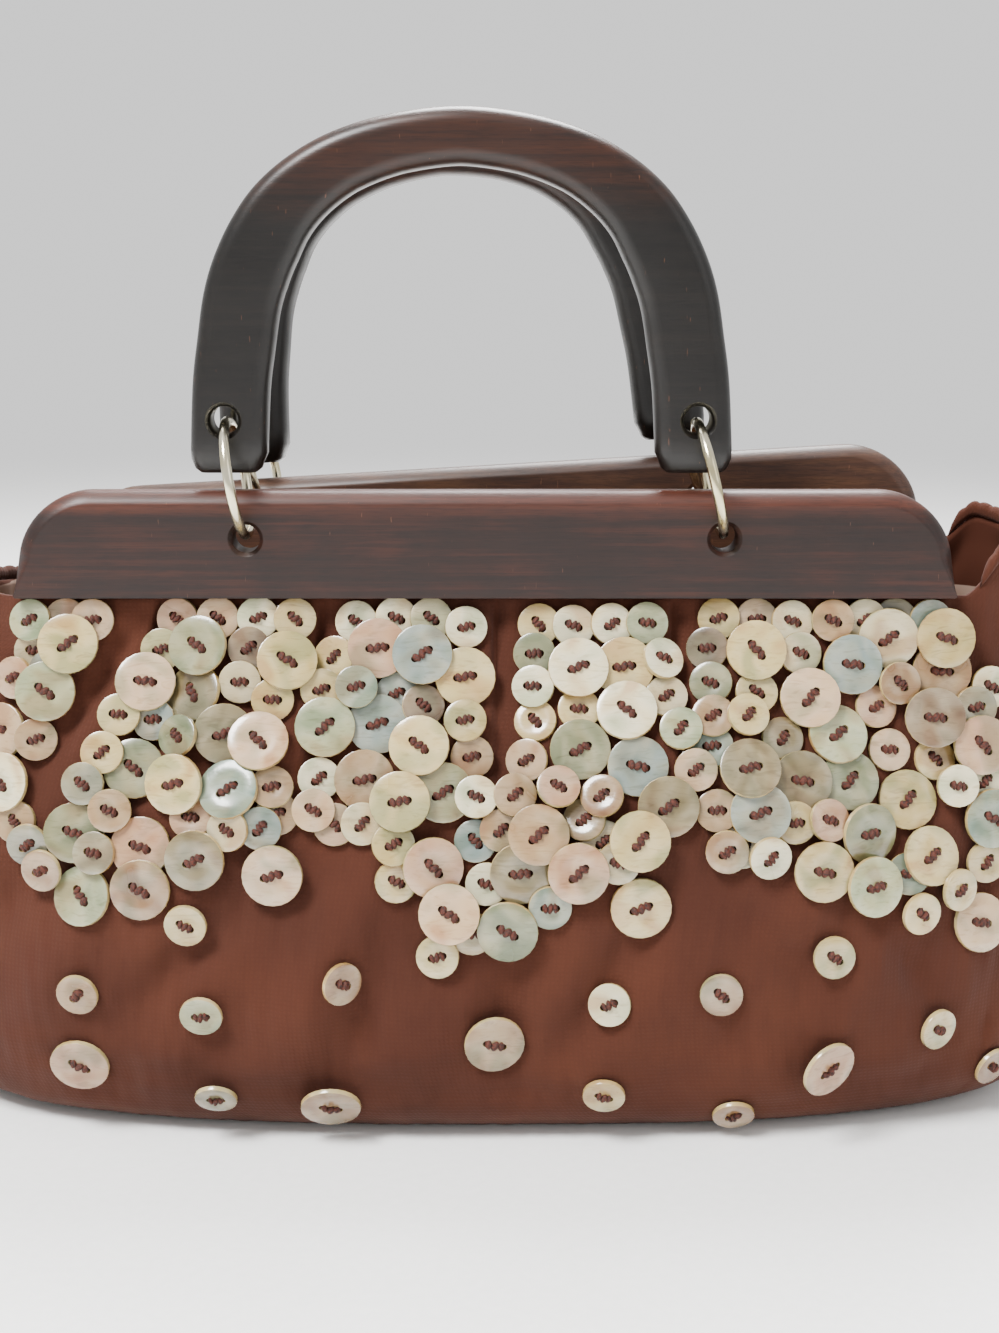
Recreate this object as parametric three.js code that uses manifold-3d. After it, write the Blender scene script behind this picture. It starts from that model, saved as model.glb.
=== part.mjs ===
// Wooden handle bag: a gathered cloth handbag hung under two wooden bars, with two
// arched wooden handles on metal rings and shell buttons sewn over its front.
// Millimetres, +Z up, the front faces -Y, the flat base rests on z = 0.
import * as THREE from "three";
import { mergeVertices } from "three/addons/utils/BufferGeometryUtils.js";
import Module from "manifold-3d";

const wasm = await Module();
wasm.setup();

// Driving sizes
const GAP = 0.3; // between pieces
const CLOTH_HEIGHT = 167; // base to the underside of the bars
const WALL = 2; // cloth
const FLOOR = 2.5;
const BAR_LENGTH = 291; // at the bottom edge
const BAR_SLANT = 5; // how much shorter each end is at the top
const BAR_HEIGHT = 33;
const BAR_THICK = 12;
const BAR_CORNER = 20; // large top corners
const BAR_FOOT_CORNER = 3.4;
const BAR_EDGE = 3; // rounded-over edge
const HOLE_SPREAD = 146.4; // between the two ring holes of a bar
const HOLE_DROP = 14.5; // under the bar's top edge
const HOLE_R = 4.3;
const HOLE_SINK = 1.6; // countersink at both ends of a hole
const HANDLE_HALF = 82.7; // half width at the feet
const HANDLE_RISE = 107.4;
const HANDLE_THICK = 13;
const HANDLE_EDGE = 4.4; // soft edge
const LEG_WIDTH = 23.4;
const HANDLE_SHIFT = -7.2; // the handles hang a little to the left of the holes
const LEG_HOLE_UP = 16; // above the foot
const LEG_HOLE_IN = 11.2; // in from the leg's outer side
const RING_R = 17.5; // to the middle of the wire
const WIRE_R = 1.6;
const FRONT_BAR_Y = -30;
const BACK_BAR_Y = 32; // at the middle of its length
const BACK_YAW = -6; // the back bar stands open to the left
const BACK_TILT = 4; // its right end stands higher
const BACK_ROLL = -5; // and it tips back
const BACK_RING = 1; // the rings lean forward from it
const BACK_SWING = -2; // how the back handle leans
const BELLY_FRONT = 72; // depth of the body in front of its middle, and behind it
const BELLY_BACK = 70;
const SMALL_BUTTON = 12.7;
const LARGE_BUTTON = 17.8;
const BUTTON_THICK = 1.5;

const deg = THREE.MathUtils.degToRad;
const lerp = THREE.MathUtils.lerp;
const bag = new THREE.Group();

const wood = (hex) => new THREE.MeshStandardMaterial({ color: hex, roughness: 0.4, metalness: 0 });
const metal = new THREE.MeshStandardMaterial({ color: 0xcfc4a4, roughness: 0.25, metalness: 1 });
const cloth = new THREE.MeshStandardMaterial({ color: 0x6b3a2b, roughness: 0.9, metalness: 0 });
const shell = (hex) => new THREE.MeshStandardMaterial({ color: hex, roughness: 0.25, metalness: 0 });

function add(name, geometry, material) {
  const mesh = new THREE.Mesh(geometry, material);
  mesh.name = name;
  bag.add(mesh);
  return mesh;
}

// Geometry to a manifold solid and back
function toSolid(geometry) {
  const g = geometry.clone();
  g.deleteAttribute("normal");
  g.deleteAttribute("uv");
  const merged = mergeVertices(g, 1e-4);
  return new wasm.Manifold(
    new wasm.Mesh({
      numProp: 3,
      vertProperties: new Float32Array(merged.attributes.position.array),
      triVerts: new Uint32Array(merged.index.array),
    }),
  );
}

function toGeometry(solid) {
  const mesh = solid.getMesh();
  const g = new THREE.BufferGeometry();
  g.setAttribute("position", new THREE.BufferAttribute(new Float32Array(mesh.vertProperties), 3));
  g.setIndex(new THREE.BufferAttribute(new Uint32Array(mesh.triVerts), 1));
  g.computeVertexNormals();
  return g;
}

// An outline given as points becomes a slab with softened edges, its thickness along Y.
function softSlab(outline, thick, edge, steps) {
  const shape = new THREE.Shape(outline);
  const g = new THREE.ExtrudeGeometry(shape, {
    depth: thick - 2 * edge,
    bevelEnabled: true,
    bevelThickness: edge,
    bevelSize: edge,
    bevelOffset: -edge,
    bevelSegments: steps,
    curveSegments: 1,
  });
  g.translate(0, 0, -(thick - 2 * edge) / 2);
  g.rotateX(Math.PI / 2);
  return g;
}

function circle(x, y, r, sides) {
  const out = [];
  for (let i = 0; i < sides; i += 1) {
    const a = (-2 * Math.PI * i) / sides;
    out.push(new THREE.Vector2(x + r * Math.cos(a), y + r * Math.sin(a)));
  }
  return out;
}

// An arc of a rounded corner: centre, radius, start and end angle
function arc(cx, cy, r, from, to, steps) {
  const out = [];
  for (let i = 0; i <= steps; i += 1) {
    const a = deg(lerp(from, to, i / steps));
    out.push(new THREE.Vector2(cx + r * Math.cos(a), cy + r * Math.sin(a)));
  }
  return out;
}

// Two countersunk holes through a slab, left and right of its middle
function bored(slab, across, up, thick) {
  const half = thick / 2;
  const profile = [
    [0, -half - 1],
    [HOLE_R + HOLE_SINK + 1, -half - 1],
    [HOLE_R, -half + HOLE_SINK],
    [HOLE_R, half - HOLE_SINK],
    [HOLE_R + HOLE_SINK + 1, half + 1],
    [0, half + 1],
  ].map(([r, y]) => new THREE.Vector2(r, y));
  let solid = toSolid(slab);
  for (const side of [-1, 1]) {
    const drill = new THREE.LatheGeometry(profile, 12);
    drill.translate(side * across, 0, up);
    solid = solid.subtract(toSolid(drill));
  }
  return toGeometry(solid);
}

// Bars: z = 0 is the middle of the height
function barGeometry() {
  const half = BAR_LENGTH / 2;
  const top = BAR_HEIGHT / 2;
  const lean = BAR_SLANT;
  const right = [
    ...arc(half - BAR_FOOT_CORNER, -top + BAR_FOOT_CORNER, BAR_FOOT_CORNER, -90, 0, 2),
    ...arc(half - lean - BAR_CORNER, top - BAR_CORNER, BAR_CORNER, 8, 90, 6),
  ];
  const left = right.map((p) => new THREE.Vector2(-p.x, p.y)).reverse();
  const slab = softSlab([...right, ...left], BAR_THICK, BAR_EDGE, 2);
  return bored(slab, HOLE_SPREAD / 2, top - HOLE_DROP, BAR_THICK);
}

// Handle outline: half widths of the arch at heights above the foot, as shares
const ARCH = [
  // height, outer half width
  [0.0, 1.0],
  [0.24, 0.982],
  [0.38, 0.957],
  [0.5, 0.93],
  [0.6, 0.888],
  [0.7, 0.822],
  [0.79, 0.735],
  [0.87, 0.61],
  [0.935, 0.45],
  [0.98, 0.245],
  [1.0, 0.0],
].map(([height, width]) => ({ height, width }));

// How wide the wood is, from the feet to the top of the arch
const LEG_TAPER = [
  // share of the arch, width share
  [0.0, 1.0],
  [0.45, 0.99],
  [0.7, 0.93],
  [1.0, 0.72],
].map(([along, width]) => ({ along, width }));

function table(rows, key, value, at) {
  let i = 0;
  while (i < rows.length - 2 && at > rows[i + 1][key]) i += 1;
  const a = rows[i];
  const b = rows[i + 1];
  const t = THREE.MathUtils.clamp((at - a[key]) / (b[key] - a[key]), 0, 1);
  return lerp(a[value], b[value], t);
}

// z = 0 is the underside of the feet
function handleGeometry() {
  const outer = ARCH.map((p) => new THREE.Vector2(p.width * HANDLE_HALF, p.height * HANDLE_RISE));
  const inner = outer.map((p, i) => {
    const before = outer[Math.max(i - 1, 0)];
    const after = outer[Math.min(i + 1, outer.length - 1)];
    const along = i === outer.length - 1 ? new THREE.Vector2(-1, 0) : after.clone().sub(before);
    along.normalize();
    if (i === 0) along.set(0, 1);
    const wide = LEG_WIDTH * table(LEG_TAPER, "along", "width", i / (outer.length - 1));
    return new THREE.Vector2(p.x - along.y * wide, p.y + along.x * wide);
  });
  inner[0].y = 0;
  const bevel = 3.2;
  const foot = [
    new THREE.Vector2(inner[0].x, bevel),
    new THREE.Vector2(inner[0].x + bevel, 0),
    new THREE.Vector2(outer[0].x - bevel, 0),
    new THREE.Vector2(outer[0].x, bevel),
  ];
  const mirror = (p) => new THREE.Vector2(-p.x, p.y);
  const rest = outer.slice(1);
  const back = rest.slice(0, -1).reverse().map(mirror);
  const inside = inner.slice(1);
  const outline = [
    ...foot,
    ...rest,
    ...back,
    ...foot.slice().reverse().map(mirror),
    ...inside.map(mirror),
    ...inside.slice(0, -1).reverse(),
  ];
  const slab = softSlab(outline, HANDLE_THICK, HANDLE_EDGE, 2);
  return bored(slab, HANDLE_HALF - LEG_HOLE_IN, LEG_HOLE_UP, HANDLE_THICK);
}

// Rings: a wire of 6 sides round a circle in the YZ plane
function ringGeometry() {
  const g = new THREE.TorusGeometry(RING_R, WIRE_R, 6, 16);
  g.rotateY(Math.PI / 2);
  return g;
}

// One bar, its handle and its two rings, turned about the line of the ring centres
const RING_UP = RING_R + 0.5; // ring centre over the bar hole: the wire hangs on the tops of the holes
function hang(side, y, yaw, tilt, roll, ringLean, swing, woodBar, woodHandle) {
  const assembly = new THREE.Group();
  bag.add(assembly);
  const up = BAR_HEIGHT / 2 - HOLE_DROP;
  const edge = BAR_THICK / 2;
  const lowest = (BAR_HEIGHT / 2) * Math.cos(deg(roll)) + edge * Math.abs(Math.sin(deg(roll)));
  assembly.position.set(0, y, CLOTH_HEIGHT + GAP + lowest);
  assembly.rotation.set(0, deg(-tilt), deg(yaw), "ZYX");
  const bar = new THREE.Mesh(barGeometry(), woodBar);
  bar.name = "frame_bar_" + side;
  const barTurn = new THREE.Group();
  barTurn.rotation.x = deg(roll);
  barTurn.add(bar);
  assembly.add(barTurn);
  // the hinge line, through both ring centres
  const alongX = new THREE.Vector3(1, 0, 0);
  const ringCentre = new THREE.Vector3(0, 0, up).applyAxisAngle(alongX, deg(roll));
  ringCentre.add(new THREE.Vector3(0, 0, RING_UP).applyAxisAngle(alongX, deg(ringLean)));
  const hinge = new THREE.Group();
  hinge.position.copy(ringCentre);
  hinge.rotation.x = deg(swing);
  assembly.add(hinge);
  const handle = new THREE.Mesh(handleGeometry(), woodHandle);
  handle.name = "handle_" + side;
  handle.position.set(HANDLE_SHIFT, 0, RING_UP - LEG_HOLE_UP);
  hinge.add(handle);
  const spread = HANDLE_HALF - LEG_HOLE_IN;
  for (const [name, s] of [["left", -1], ["right", 1]]) {
    const ring = new THREE.Mesh(ringGeometry(), metal);
    ring.name = "ring_" + side + "_" + name;
    const low = (s * HOLE_SPREAD) / 2;
    const high = s * spread + HANDLE_SHIFT;
    ring.position.set((low + high) / 2, 0, 0);
    ring.rotation.y = Math.atan2(high - low, 2 * RING_UP);
    hinge.add(ring);
  }
  return assembly;
}

hang("front", FRONT_BAR_Y, 0, 0, 0, 0, 0, wood(0x3a1a12), wood(0x2b2220));
const backTurn = [BACK_YAW, BACK_TILT, BACK_ROLL, BACK_RING, BACK_SWING];
hang("back", BACK_BAR_Y, ...backTurn, wood(0x5d3a25), wood(0x2e2421));
bag.updateMatrixWorld(true);

// Cloth body: sections of the outside, from the base to the mouth.
// up is a share of the cloth's height, long of the bar's length, front and back of the belly;
// mouth = how far the section has turned from the oval belly to the line of the bars
const SECTIONS = [
  // up, half length, front depth, back depth, mouth, pleat
  [0, 0.565, 0.7, 0.73, 0, 0],
  [0.018, 0.605, 0.81, 0.83, 0, 0],
  [0.06, 0.638, 0.905, 0.92, 0, 0],
  [0.15, 0.655, 0.975, 0.98, 0, 0],
  [0.28, 0.661, 1, 1, 0, 0.15],
  [0.44, 0.656, 0.985, 0.99, 0.04, 0.35],
  [0.6, 0.646, 0.93, 0.95, 0.14, 0.6],
  [0.745, 0.632, 0.845, 0.89, 0.34, 0.85],
  [0.87, 0.611, 0.75, 0.83, 0.64, 1],
  [0.95, 0.591, 0.65, 0.78, 0.88, 1],
  [1, 0.567, 0.58, 0.75, 1, 0],
].map(([up, long, front, back, mouth, pleat]) => ({
  up: up * CLOTH_HEIGHT,
  long: long * BAR_LENGTH,
  front: front * BELLY_FRONT,
  back: back * BELLY_BACK,
  mouth,
  pleat,
}));

const SQUARE = 2.7; // how square the oval is
const STRAIGHT = 0.84; // share of the half length along which the wall follows a bar
const PLEATS = [-101, -51, 3, 58, 114]; // along the front bar
const PLEAT_DEPTH = 3.2;
const PLEAT_WIDTH = 4.5;
const MOUTH_LEFT = 24; // how far the mouth loops out past the ends of the bars
const MOUTH_RIGHT = 27;
const END_RISE_LEFT = 3; // the cloth stands higher past the ends
const END_RISE_RIGHT = 11;
const END_STEPS = 6;

// Places along the front wall, closer at the pleats
const frontStops = [-1, -0.93, -0.82];
PLEATS.forEach((p, i) => {
  for (const d of [-6.5, -3, 0, 3, 6.5]) frontStops.push((p + d) / (BAR_LENGTH / 2 - 2.5));
  const next = PLEATS[i + 1];
  if (next !== undefined) frontStops.push((p + next) / 2 / (BAR_LENGTH / 2 - 2.5));
});
frontStops.push(0.93, 1);
const backStops = [];
for (let i = 0; i <= 8; i += 1) backStops.push(1 - i / 4);

const MOUTH_HALF = BAR_LENGTH / 2 - 2.5;
// the lines of the bars' lower edges; z is how far the line stands above the height of the cloth
const backTurned = new THREE.Euler(0, deg(-BACK_TILT), deg(BACK_YAW), "ZYX");
function backLine(s) {
  const p = new THREE.Vector3(s * MOUTH_HALF, 0, -BAR_HEIGHT / 2).applyEuler(backTurned);
  return p.add(new THREE.Vector3(0, BACK_BAR_Y, BAR_HEIGHT / 2));
}
const frontLine = (s) => new THREE.Vector3(s * MOUTH_HALF, FRONT_BAR_Y, 0);

function oval(row, share, side) {
  const x = Math.min(Math.abs(share), 1);
  const deep = side < 0 ? row.front : row.back;
  return new THREE.Vector3(share * row.long, side * deep * (1 - x ** SQUARE) ** (1 / SQUARE), 0);
}

function ovalEnd(row, t, side) {
  const start = Math.acos(STRAIGHT ** (SQUARE / 2));
  const a = lerp(-start, start, t);
  const deep = a < 0 ? row.front : row.back;
  const x = side * row.long * Math.cos(a) ** (2 / SQUARE);
  return new THREE.Vector3(x, Math.sign(a) * deep * Math.abs(Math.sin(a)) ** (2 / SQUARE), 0);
}

function mouthEnd(t, side) {
  const from = frontLine(side);
  const to = backLine(side);
  const middle = from.clone().lerp(to, 0.5);
  const across = from.clone().sub(middle);
  const reach = side < 0 ? MOUTH_LEFT : MOUTH_RIGHT;
  const a = Math.PI * t;
  const out = side * reach * Math.sin(a) ** 0.8;
  return middle.addScaledVector(across, Math.cos(a)).add(new THREE.Vector3(out, 0, 0));
}

// The edge of the mouth climbs past the ends of the bars
function endRise(x) {
  const past = Math.max(0, Math.abs(x) - BAR_LENGTH / 2 - 4);
  return (x < 0 ? END_RISE_LEFT : END_RISE_RIGHT) * Math.min(1, past / 12);
}

// The section at one height, as a closed loop seen from above, anticlockwise
function section(row) {
  const points = [];
  for (const s of frontStops) {
    const p = oval(row, s * STRAIGHT, -1).lerp(frontLine(s), row.mouth);
    let fold = 0;
    for (const at of PLEATS) fold += Math.exp(-(((s * MOUTH_HALF - at) / PLEAT_WIDTH) ** 2));
    p.y += PLEAT_DEPTH * row.pleat * (fold - 0.25);
    points.push(p);
  }
  for (let i = 1; i < END_STEPS; i += 1)
    points.push(ovalEnd(row, i / END_STEPS, 1).lerp(mouthEnd(i / END_STEPS, 1), row.mouth));
  for (const s of backStops) points.push(oval(row, s * STRAIGHT, 1).lerp(backLine(s), row.mouth));
  for (let i = 1; i < END_STEPS; i += 1)
    points.push(ovalEnd(row, 1 - i / END_STEPS, -1).lerp(mouthEnd(1 - i / END_STEPS, -1), row.mouth));
  for (const p of points) p.z += row.up + row.mouth * endRise(p.x);
  return points;
}

function inset(points, by) {
  const n = points.length;
  return points.map((p, i) => {
    const a = points[(i + n - 1) % n];
    const b = points[(i + 1) % n];
    const along = new THREE.Vector3(b.x - a.x, b.y - a.y, 0).normalize();
    return new THREE.Vector3(p.x - along.y * by, p.y + along.x * by, p.z);
  });
}

function bodyGeometry() {
  const outside = SECTIONS.map(section);
  const inside = SECTIONS.filter((row, k) => k === 0 || (k > 2 && k % 2 === 0)).map((row) => {
    const loop = inset(section(row), row.up === 0 ? WALL + 3 : WALL);
    if (row.up === 0) for (const p of loop) p.z = FLOOR;
    return loop;
  });
  const loops = [...outside, ...inside.slice().reverse()];
  const n = loops[0].length;
  const position = [];
  for (const loop of loops) for (const p of loop) position.push(p.x, p.y, p.z);
  const index = [];
  for (let k = 0; k < loops.length - 1; k += 1) {
    for (let i = 0; i < n; i += 1) {
      const j = (i + 1) % n;
      const a = k * n + i;
      const b = k * n + j;
      const c = (k + 1) * n + j;
      const d = (k + 1) * n + i;
      index.push(a, b, c, a, c, d);
    }
  }
  const base = position.length / 3;
  position.push(0, 0, 0, 0, 0, FLOOR);
  const last = (loops.length - 1) * n;
  for (let i = 0; i < n; i += 1) {
    const j = (i + 1) % n;
    index.push(base, j, i, base + 1, last + i, last + j);
  }
  const g = new THREE.BufferGeometry();
  g.setAttribute("position", new THREE.Float32BufferAttribute(position, 3));
  g.setIndex(index);
  return g;
}

add("bag_body", bodyGeometry(), cloth);

// Hems: the bound edge of the mouth past the ends of the bars
function hemGeometry(side) {
  const path = [];
  for (let i = 1; i < END_STEPS; i += 1) {
    const p = mouthEnd(i / END_STEPS, side);
    p.z += CLOTH_HEIGHT + endRise(p.x);
    path.push(p);
  }
  const half = 1.7;
  const height = 5;
  const position = [];
  path.forEach((p, i) => {
    const a = path[Math.max(i - 1, 0)];
    const b = path[Math.min(i + 1, path.length - 1)];
    const along = new THREE.Vector3(b.x - a.x, b.y - a.y, 0).normalize();
    const across = new THREE.Vector3(along.y * side, -along.x * side, 0);
    const low = p.z + GAP;
    for (const [o, h] of [[-1, 0], [1, 0], [1, height * 0.75], [0.4, height], [-0.4, height], [-1, height * 0.75]])
      position.push(p.x + across.x * half * o, p.y + across.y * half * o, low + h);
  });
  const n = 6;
  const index = [];
  for (let k = 0; k < path.length - 1; k += 1)
    for (let i = 0; i < n; i += 1) {
      const j = (i + 1) % n;
      const [a, b, c, d] = [k * n + i, k * n + j, (k + 1) * n + j, (k + 1) * n + i];
      index.push(a, b, c, a, c, d);
    }
  for (let i = 1; i < n - 1; i += 1) {
    const last = (path.length - 1) * n;
    index.push(0, i + 1, i, last, last + i, last + i + 1);
  }
  const g = new THREE.BufferGeometry();
  g.setAttribute("position", new THREE.Float32BufferAttribute(position, 3));
  g.setIndex(index);
  return g;
}

for (const [name, side] of [["left", -1], ["right", 1]]) {
  let g = hemGeometry(side);
  if (toSolid(g).volume() < 0) {
    const flipped = Array.from(g.index.array);
    for (let i = 0; i < flipped.length; i += 3) [flipped[i + 1], flipped[i + 2]] = [flipped[i + 2], flipped[i + 1]];
    g.setIndex(flipped);
  }
  add("mouth_hem_" + name, g, cloth);
}

// The front wall at a place across and up, and the way it faces
function rowAt(up) {
  const row = { up };
  for (const key of ["long", "front", "back", "mouth", "pleat"]) row[key] = table(SECTIONS, "up", key, up);
  return row;
}

function wallPoint(across, up) {
  const raised = table(SECTIONS, "up", "mouth", up) * endRise(across);
  const loop = section(rowAt(up - raised));
  const n = loop.length;
  let best = null;
  for (let i = 0; i < n; i += 1) {
    const a = loop[i];
    const b = loop[(i + 1) % n];
    if (b.x <= a.x || across < a.x || across > b.x) continue;
    const p = a.clone().lerp(b, (across - a.x) / (b.x - a.x));
    if (!best || p.y < best.y) best = p;
  }
  if (!best) best = loop.reduce((p, q) => (Math.abs(q.x - across) < Math.abs(p.x - across) ? q : p)).clone();
  best.z = up;
  return best;
}

function wallFrame(across, up, reach) {
  const left = wallPoint(across - reach, up);
  const right = wallPoint(across + reach, up);
  const low = wallPoint(across, Math.max(up - reach, 1));
  const high = wallPoint(across, Math.min(up + reach, CLOTH_HEIGHT));
  const x = right.sub(left).normalize();
  const y = high.sub(low);
  const out = x.clone().cross(y).normalize();
  return { at: wallPoint(across, up), out };
}

// One shell button: a disc that lies on the cloth, raised by lift
function buttonGeometry(across, up, size, lift, sides, turn, bored, thick = BUTTON_THICK) {
  const shape = new THREE.Shape(circle(0, 0, size / 2, sides).reverse());
  if (bored) {
    const hole = 0.06 * size + 0.4;
    for (const s of [-1, 1]) shape.holes.push(new THREE.Path(circle(s * size * 0.13, 0, hole, 4)));
  }
  const g = new THREE.ExtrudeGeometry(shape, { depth: thick, bevelEnabled: false, curveSegments: 1 });
  g.rotateZ(turn);
  const { at, out } = wallFrame(across, up, size / 2.4);
  const turned = new THREE.Quaternion().setFromUnitVectors(new THREE.Vector3(0, 0, 1), out);
  g.applyQuaternion(turned);
  // pushed out until every point of its edge is clear of the cloth
  let push = 0;
  for (const share of [1, 0.75, 0.5, 0.25]) {
    for (const p of circle(0, 0, (share * size) / 2, 12)) {
      const q = new THREE.Vector3(p.x, p.y, 0).applyQuaternion(turned).add(at);
      if (q.z > CLOTH_HEIGHT || q.z < 0.5) continue;
      const wall = wallPoint(q.x, q.z);
      push = Math.max(push, (q.y - wall.y) / Math.abs(out.y));
    }
  }
  at.addScaledVector(out, lift + push);
  g.translate(at.x, at.y, at.z);
  return g;
}

// The photo's eye: its place as shares of the cloth's height, its pitch and focal length in pixels
const EYE = { across: 0.026, back: 3.593, up: 1.626, pitch: 12.55, focal: 1865 };
const PHOTO_MIDDLE = { x: 499.5, y: 666.5 };
const PIXELS_PER_MM = 3.4; // on the front of the cloth
const PHOTO_BAR = 1.7425; // the bar's length in heights of the cloth, as in the photo

// Where the photo's pixel falls on the front of the cloth
function onWall(pixelX, pixelY) {
  const eye = new THREE.Vector3(EYE.across, -EYE.back, EYE.up).multiplyScalar(CLOTH_HEIGHT);
  const ray = new THREE.Vector3(pixelX - PHOTO_MIDDLE.x, EYE.focal, PHOTO_MIDDLE.y - pixelY);
  ray.applyAxisAngle(new THREE.Vector3(1, 0, 0), deg(-EYE.pitch)).divideScalar(EYE.focal);
  const stretch = BAR_LENGTH / (PHOTO_BAR * CLOTH_HEIGHT);
  const p = new THREE.Vector3(0, -BELLY_FRONT, 0);
  for (let i = 0; i < 12; i += 1) {
    const reach = (p.y - eye.y) / ray.y;
    p.x = (eye.x + ray.x * reach) * stretch;
    p.z = THREE.MathUtils.clamp(eye.z + ray.z * reach, 2, CLOTH_HEIGHT);
    p.y = wallPoint(p.x, p.z).y;
  }
  return { across: p.x, up: p.z };
}

// Main buttons, each a node of its own: size, the pixel of its middle in the photo, colour
const MAIN = [
  ["L", 73, 645, 0xd9d4bd], ["L", 49, 692, 0xd5dccb], ["L", 4, 733, 0xe6ddd8],
  ["L", 286, 663, 0xcfd0a8], ["L", 147, 682, 0xe2d5cf], ["L", 204, 649, 0xa9ad93],
  ["L", 261, 745, 0xd8c4c0], ["L", 178, 785, 0xe8e0c6], ["L", 232, 792, 0xb7c2b8],
  ["L", 141, 847, 0xc9ab97], ["L", 275, 873, 0xe0cfc8], ["L", 83, 896, 0xc4cdb8],
  ["L", 423, 657, 0x9fb0b8], ["L", 421, 749, 0xe0d6bd], ["L", 401, 805, 0xd2cfae],
  ["L", 450, 913, 0xe4d3c3], ["L", 508, 929, 0xaeb39f], ["L", 324, 730, 0xd5dcc0],
  ["L", 578, 671, 0xe9e6dc], ["L", 627, 714, 0xe6e3da], ["L", 580, 750, 0xa3a99a],
  ["L", 639, 841, 0xd8c8a8], ["L", 640, 906, 0xd9d1bb], ["L", 521, 873, 0xb2a68f],
  ["L", 754, 653, 0xe2d6b0], ["L", 807, 700, 0xe9e3cf], ["L", 928, 718, 0xa09184],
  ["L", 747, 770, 0xc0b795], ["L", 866, 833, 0x93a38b], ["L", 868, 886, 0xc9d1b4],
  ["S", 79, 992, 0xd0bba3], ["L", 81, 1062, 0xd3b3a3], ["S", 202, 1013, 0xcfd3b5],
  ["S", 338, 982, 0xc9b08f], ["L", 331, 1100, 0xc9ac93], ["L", 493, 1039, 0xc9ad8c],
  ["S", 611, 1004, 0xe6e2da], ["S", 721, 994, 0xc6a988], ["S", 604, 1092, 0xdcd1b5],
  ["L", 821, 1062, 0xd9bfae],
].map(([size, x, y, tone]) => ({ size, x, y, tone }));

// Cluster buttons: rows of overlapping discs, one fused cluster between each two pleats
const CLUSTERS = ["far_left", "left", "middle", "right", "far_right"];
const FIELD = [
  // the row's pixel height, then from and to for each of the five clusters
  { y: 634, spans: [[34, 85], [176, 285], [349, 451], [552, 644], [732, 922]] },
  { y: 681, spans: [[20, 68], [132, 285], [332, 454], [546, 658], [722, 940]] },
  { y: 728, spans: [[3, 41], [105, 271], [325, 457], [542, 671], [725, 948]] },
  { y: 775, spans: [[10, 10], [88, 274], [322, 461], [532, 678], [729, 952]] },
  { y: 822, spans: [[24, 24], [88, 271], [332, 461], [532, 664], [735, 958]] },
  { y: 869, spans: [null, [88, 183], [407, 457], [556, 630], [861, 955]] },
];
const COVERED = 0.5 * LARGE_BUTTON * PIXELS_PER_MM; // a disc this near a main one is left out
const PITCH = 0.93 * LARGE_BUTTON * PIXELS_PER_MM; // so that neighbours fuse

// extra makes each disc that much larger all round, to clear a neighbour
function clusterDiscs(k, extra) {
  const discs = [];
  FIELD.forEach(({ y, spans }, r) => {
    if (!spans[k]) return;
    const [from, to] = spans[k];
    const count = Math.ceil((to - from) / PITCH) + 1;
    for (let i = 0; i < count; i += 1) {
      const x = count > 1 ? lerp(from, to, i / (count - 1)) : from;
      if (MAIN.some((b) => Math.hypot(b.x - x, b.y - y) < COVERED)) continue;
      const { across, up } = onWall(x, y);
      const lift = 0.5 + 0.4 * ((i + r) % 2) - extra;
      const size = LARGE_BUTTON + 2 * extra;
      const thick = BUTTON_THICK + 2 * extra;
      discs.push(toSolid(buttonGeometry(across, up, size, lift, 10, 0.3 * i, false, thick)));
    }
  });
  return discs;
}

const settled = [];
CLUSTERS.forEach((name, k) => {
  let cluster = wasm.Manifold.union(clusterDiscs(k, 0));
  if (k > 0)
    for (const room of clusterDiscs(k - 1, GAP))
      if (cluster.intersect(room).volume() > 0) cluster = cluster.subtract(room);
  const bodies = cluster.decompose().sort((a, b) => b.volume() - a.volume());
  settled.push(bodies[0]);
  add("button_cluster_" + name, toGeometry(bodies[0]), shell(0xd8cfb8));
});

// A main button is let down until it lies on the cloth, a cluster or another main button
MAIN.forEach((button, i) => {
  const size = button.size === "L" ? LARGE_BUTTON : SMALL_BUTTON;
  const { across, up } = onWall(button.x, button.y);
  const place = (lift, extra, bored) => {
    const thick = BUTTON_THICK + 2 * extra;
    const wide = size + 2 * extra;
    return buttonGeometry(across, up, wide, lift - extra, 10, i * 0.7, bored, thick);
  };
  let lift = 0.4;
  let room = toSolid(place(lift, GAP, false));
  while (settled.some((other) => other.intersect(room).volume() > 0)) {
    lift += 0.3;
    room = toSolid(place(lift, GAP, false));
  }
  settled.push(toSolid(place(lift, 0, false)));
  add("button_" + String(i + 1).padStart(2, "0"), place(lift, 0, true), shell(button.tone));
});

export default bag;
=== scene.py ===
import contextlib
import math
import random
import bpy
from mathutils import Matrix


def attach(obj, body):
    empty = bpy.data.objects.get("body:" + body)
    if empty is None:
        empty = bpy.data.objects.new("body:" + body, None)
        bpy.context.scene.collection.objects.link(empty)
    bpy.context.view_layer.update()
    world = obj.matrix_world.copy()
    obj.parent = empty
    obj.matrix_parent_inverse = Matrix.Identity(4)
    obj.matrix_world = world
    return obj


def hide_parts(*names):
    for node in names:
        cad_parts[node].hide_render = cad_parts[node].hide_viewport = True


bl_info = {
    "name": "Wooden Handle Bag",
    "version": (1, 0, 0),
    "blender": (4, 5, 0),
    "location": "View3D > Sidebar > Handle Bag",
    "description": "Models a gathered cloth handbag with wooden bars, arched handles and shell buttons",
    "category": "Object",
}

import bpy
import numpy as np
from mathutils import Matrix, Vector, noise
from mathutils.bvhtree import BVHTree

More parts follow.
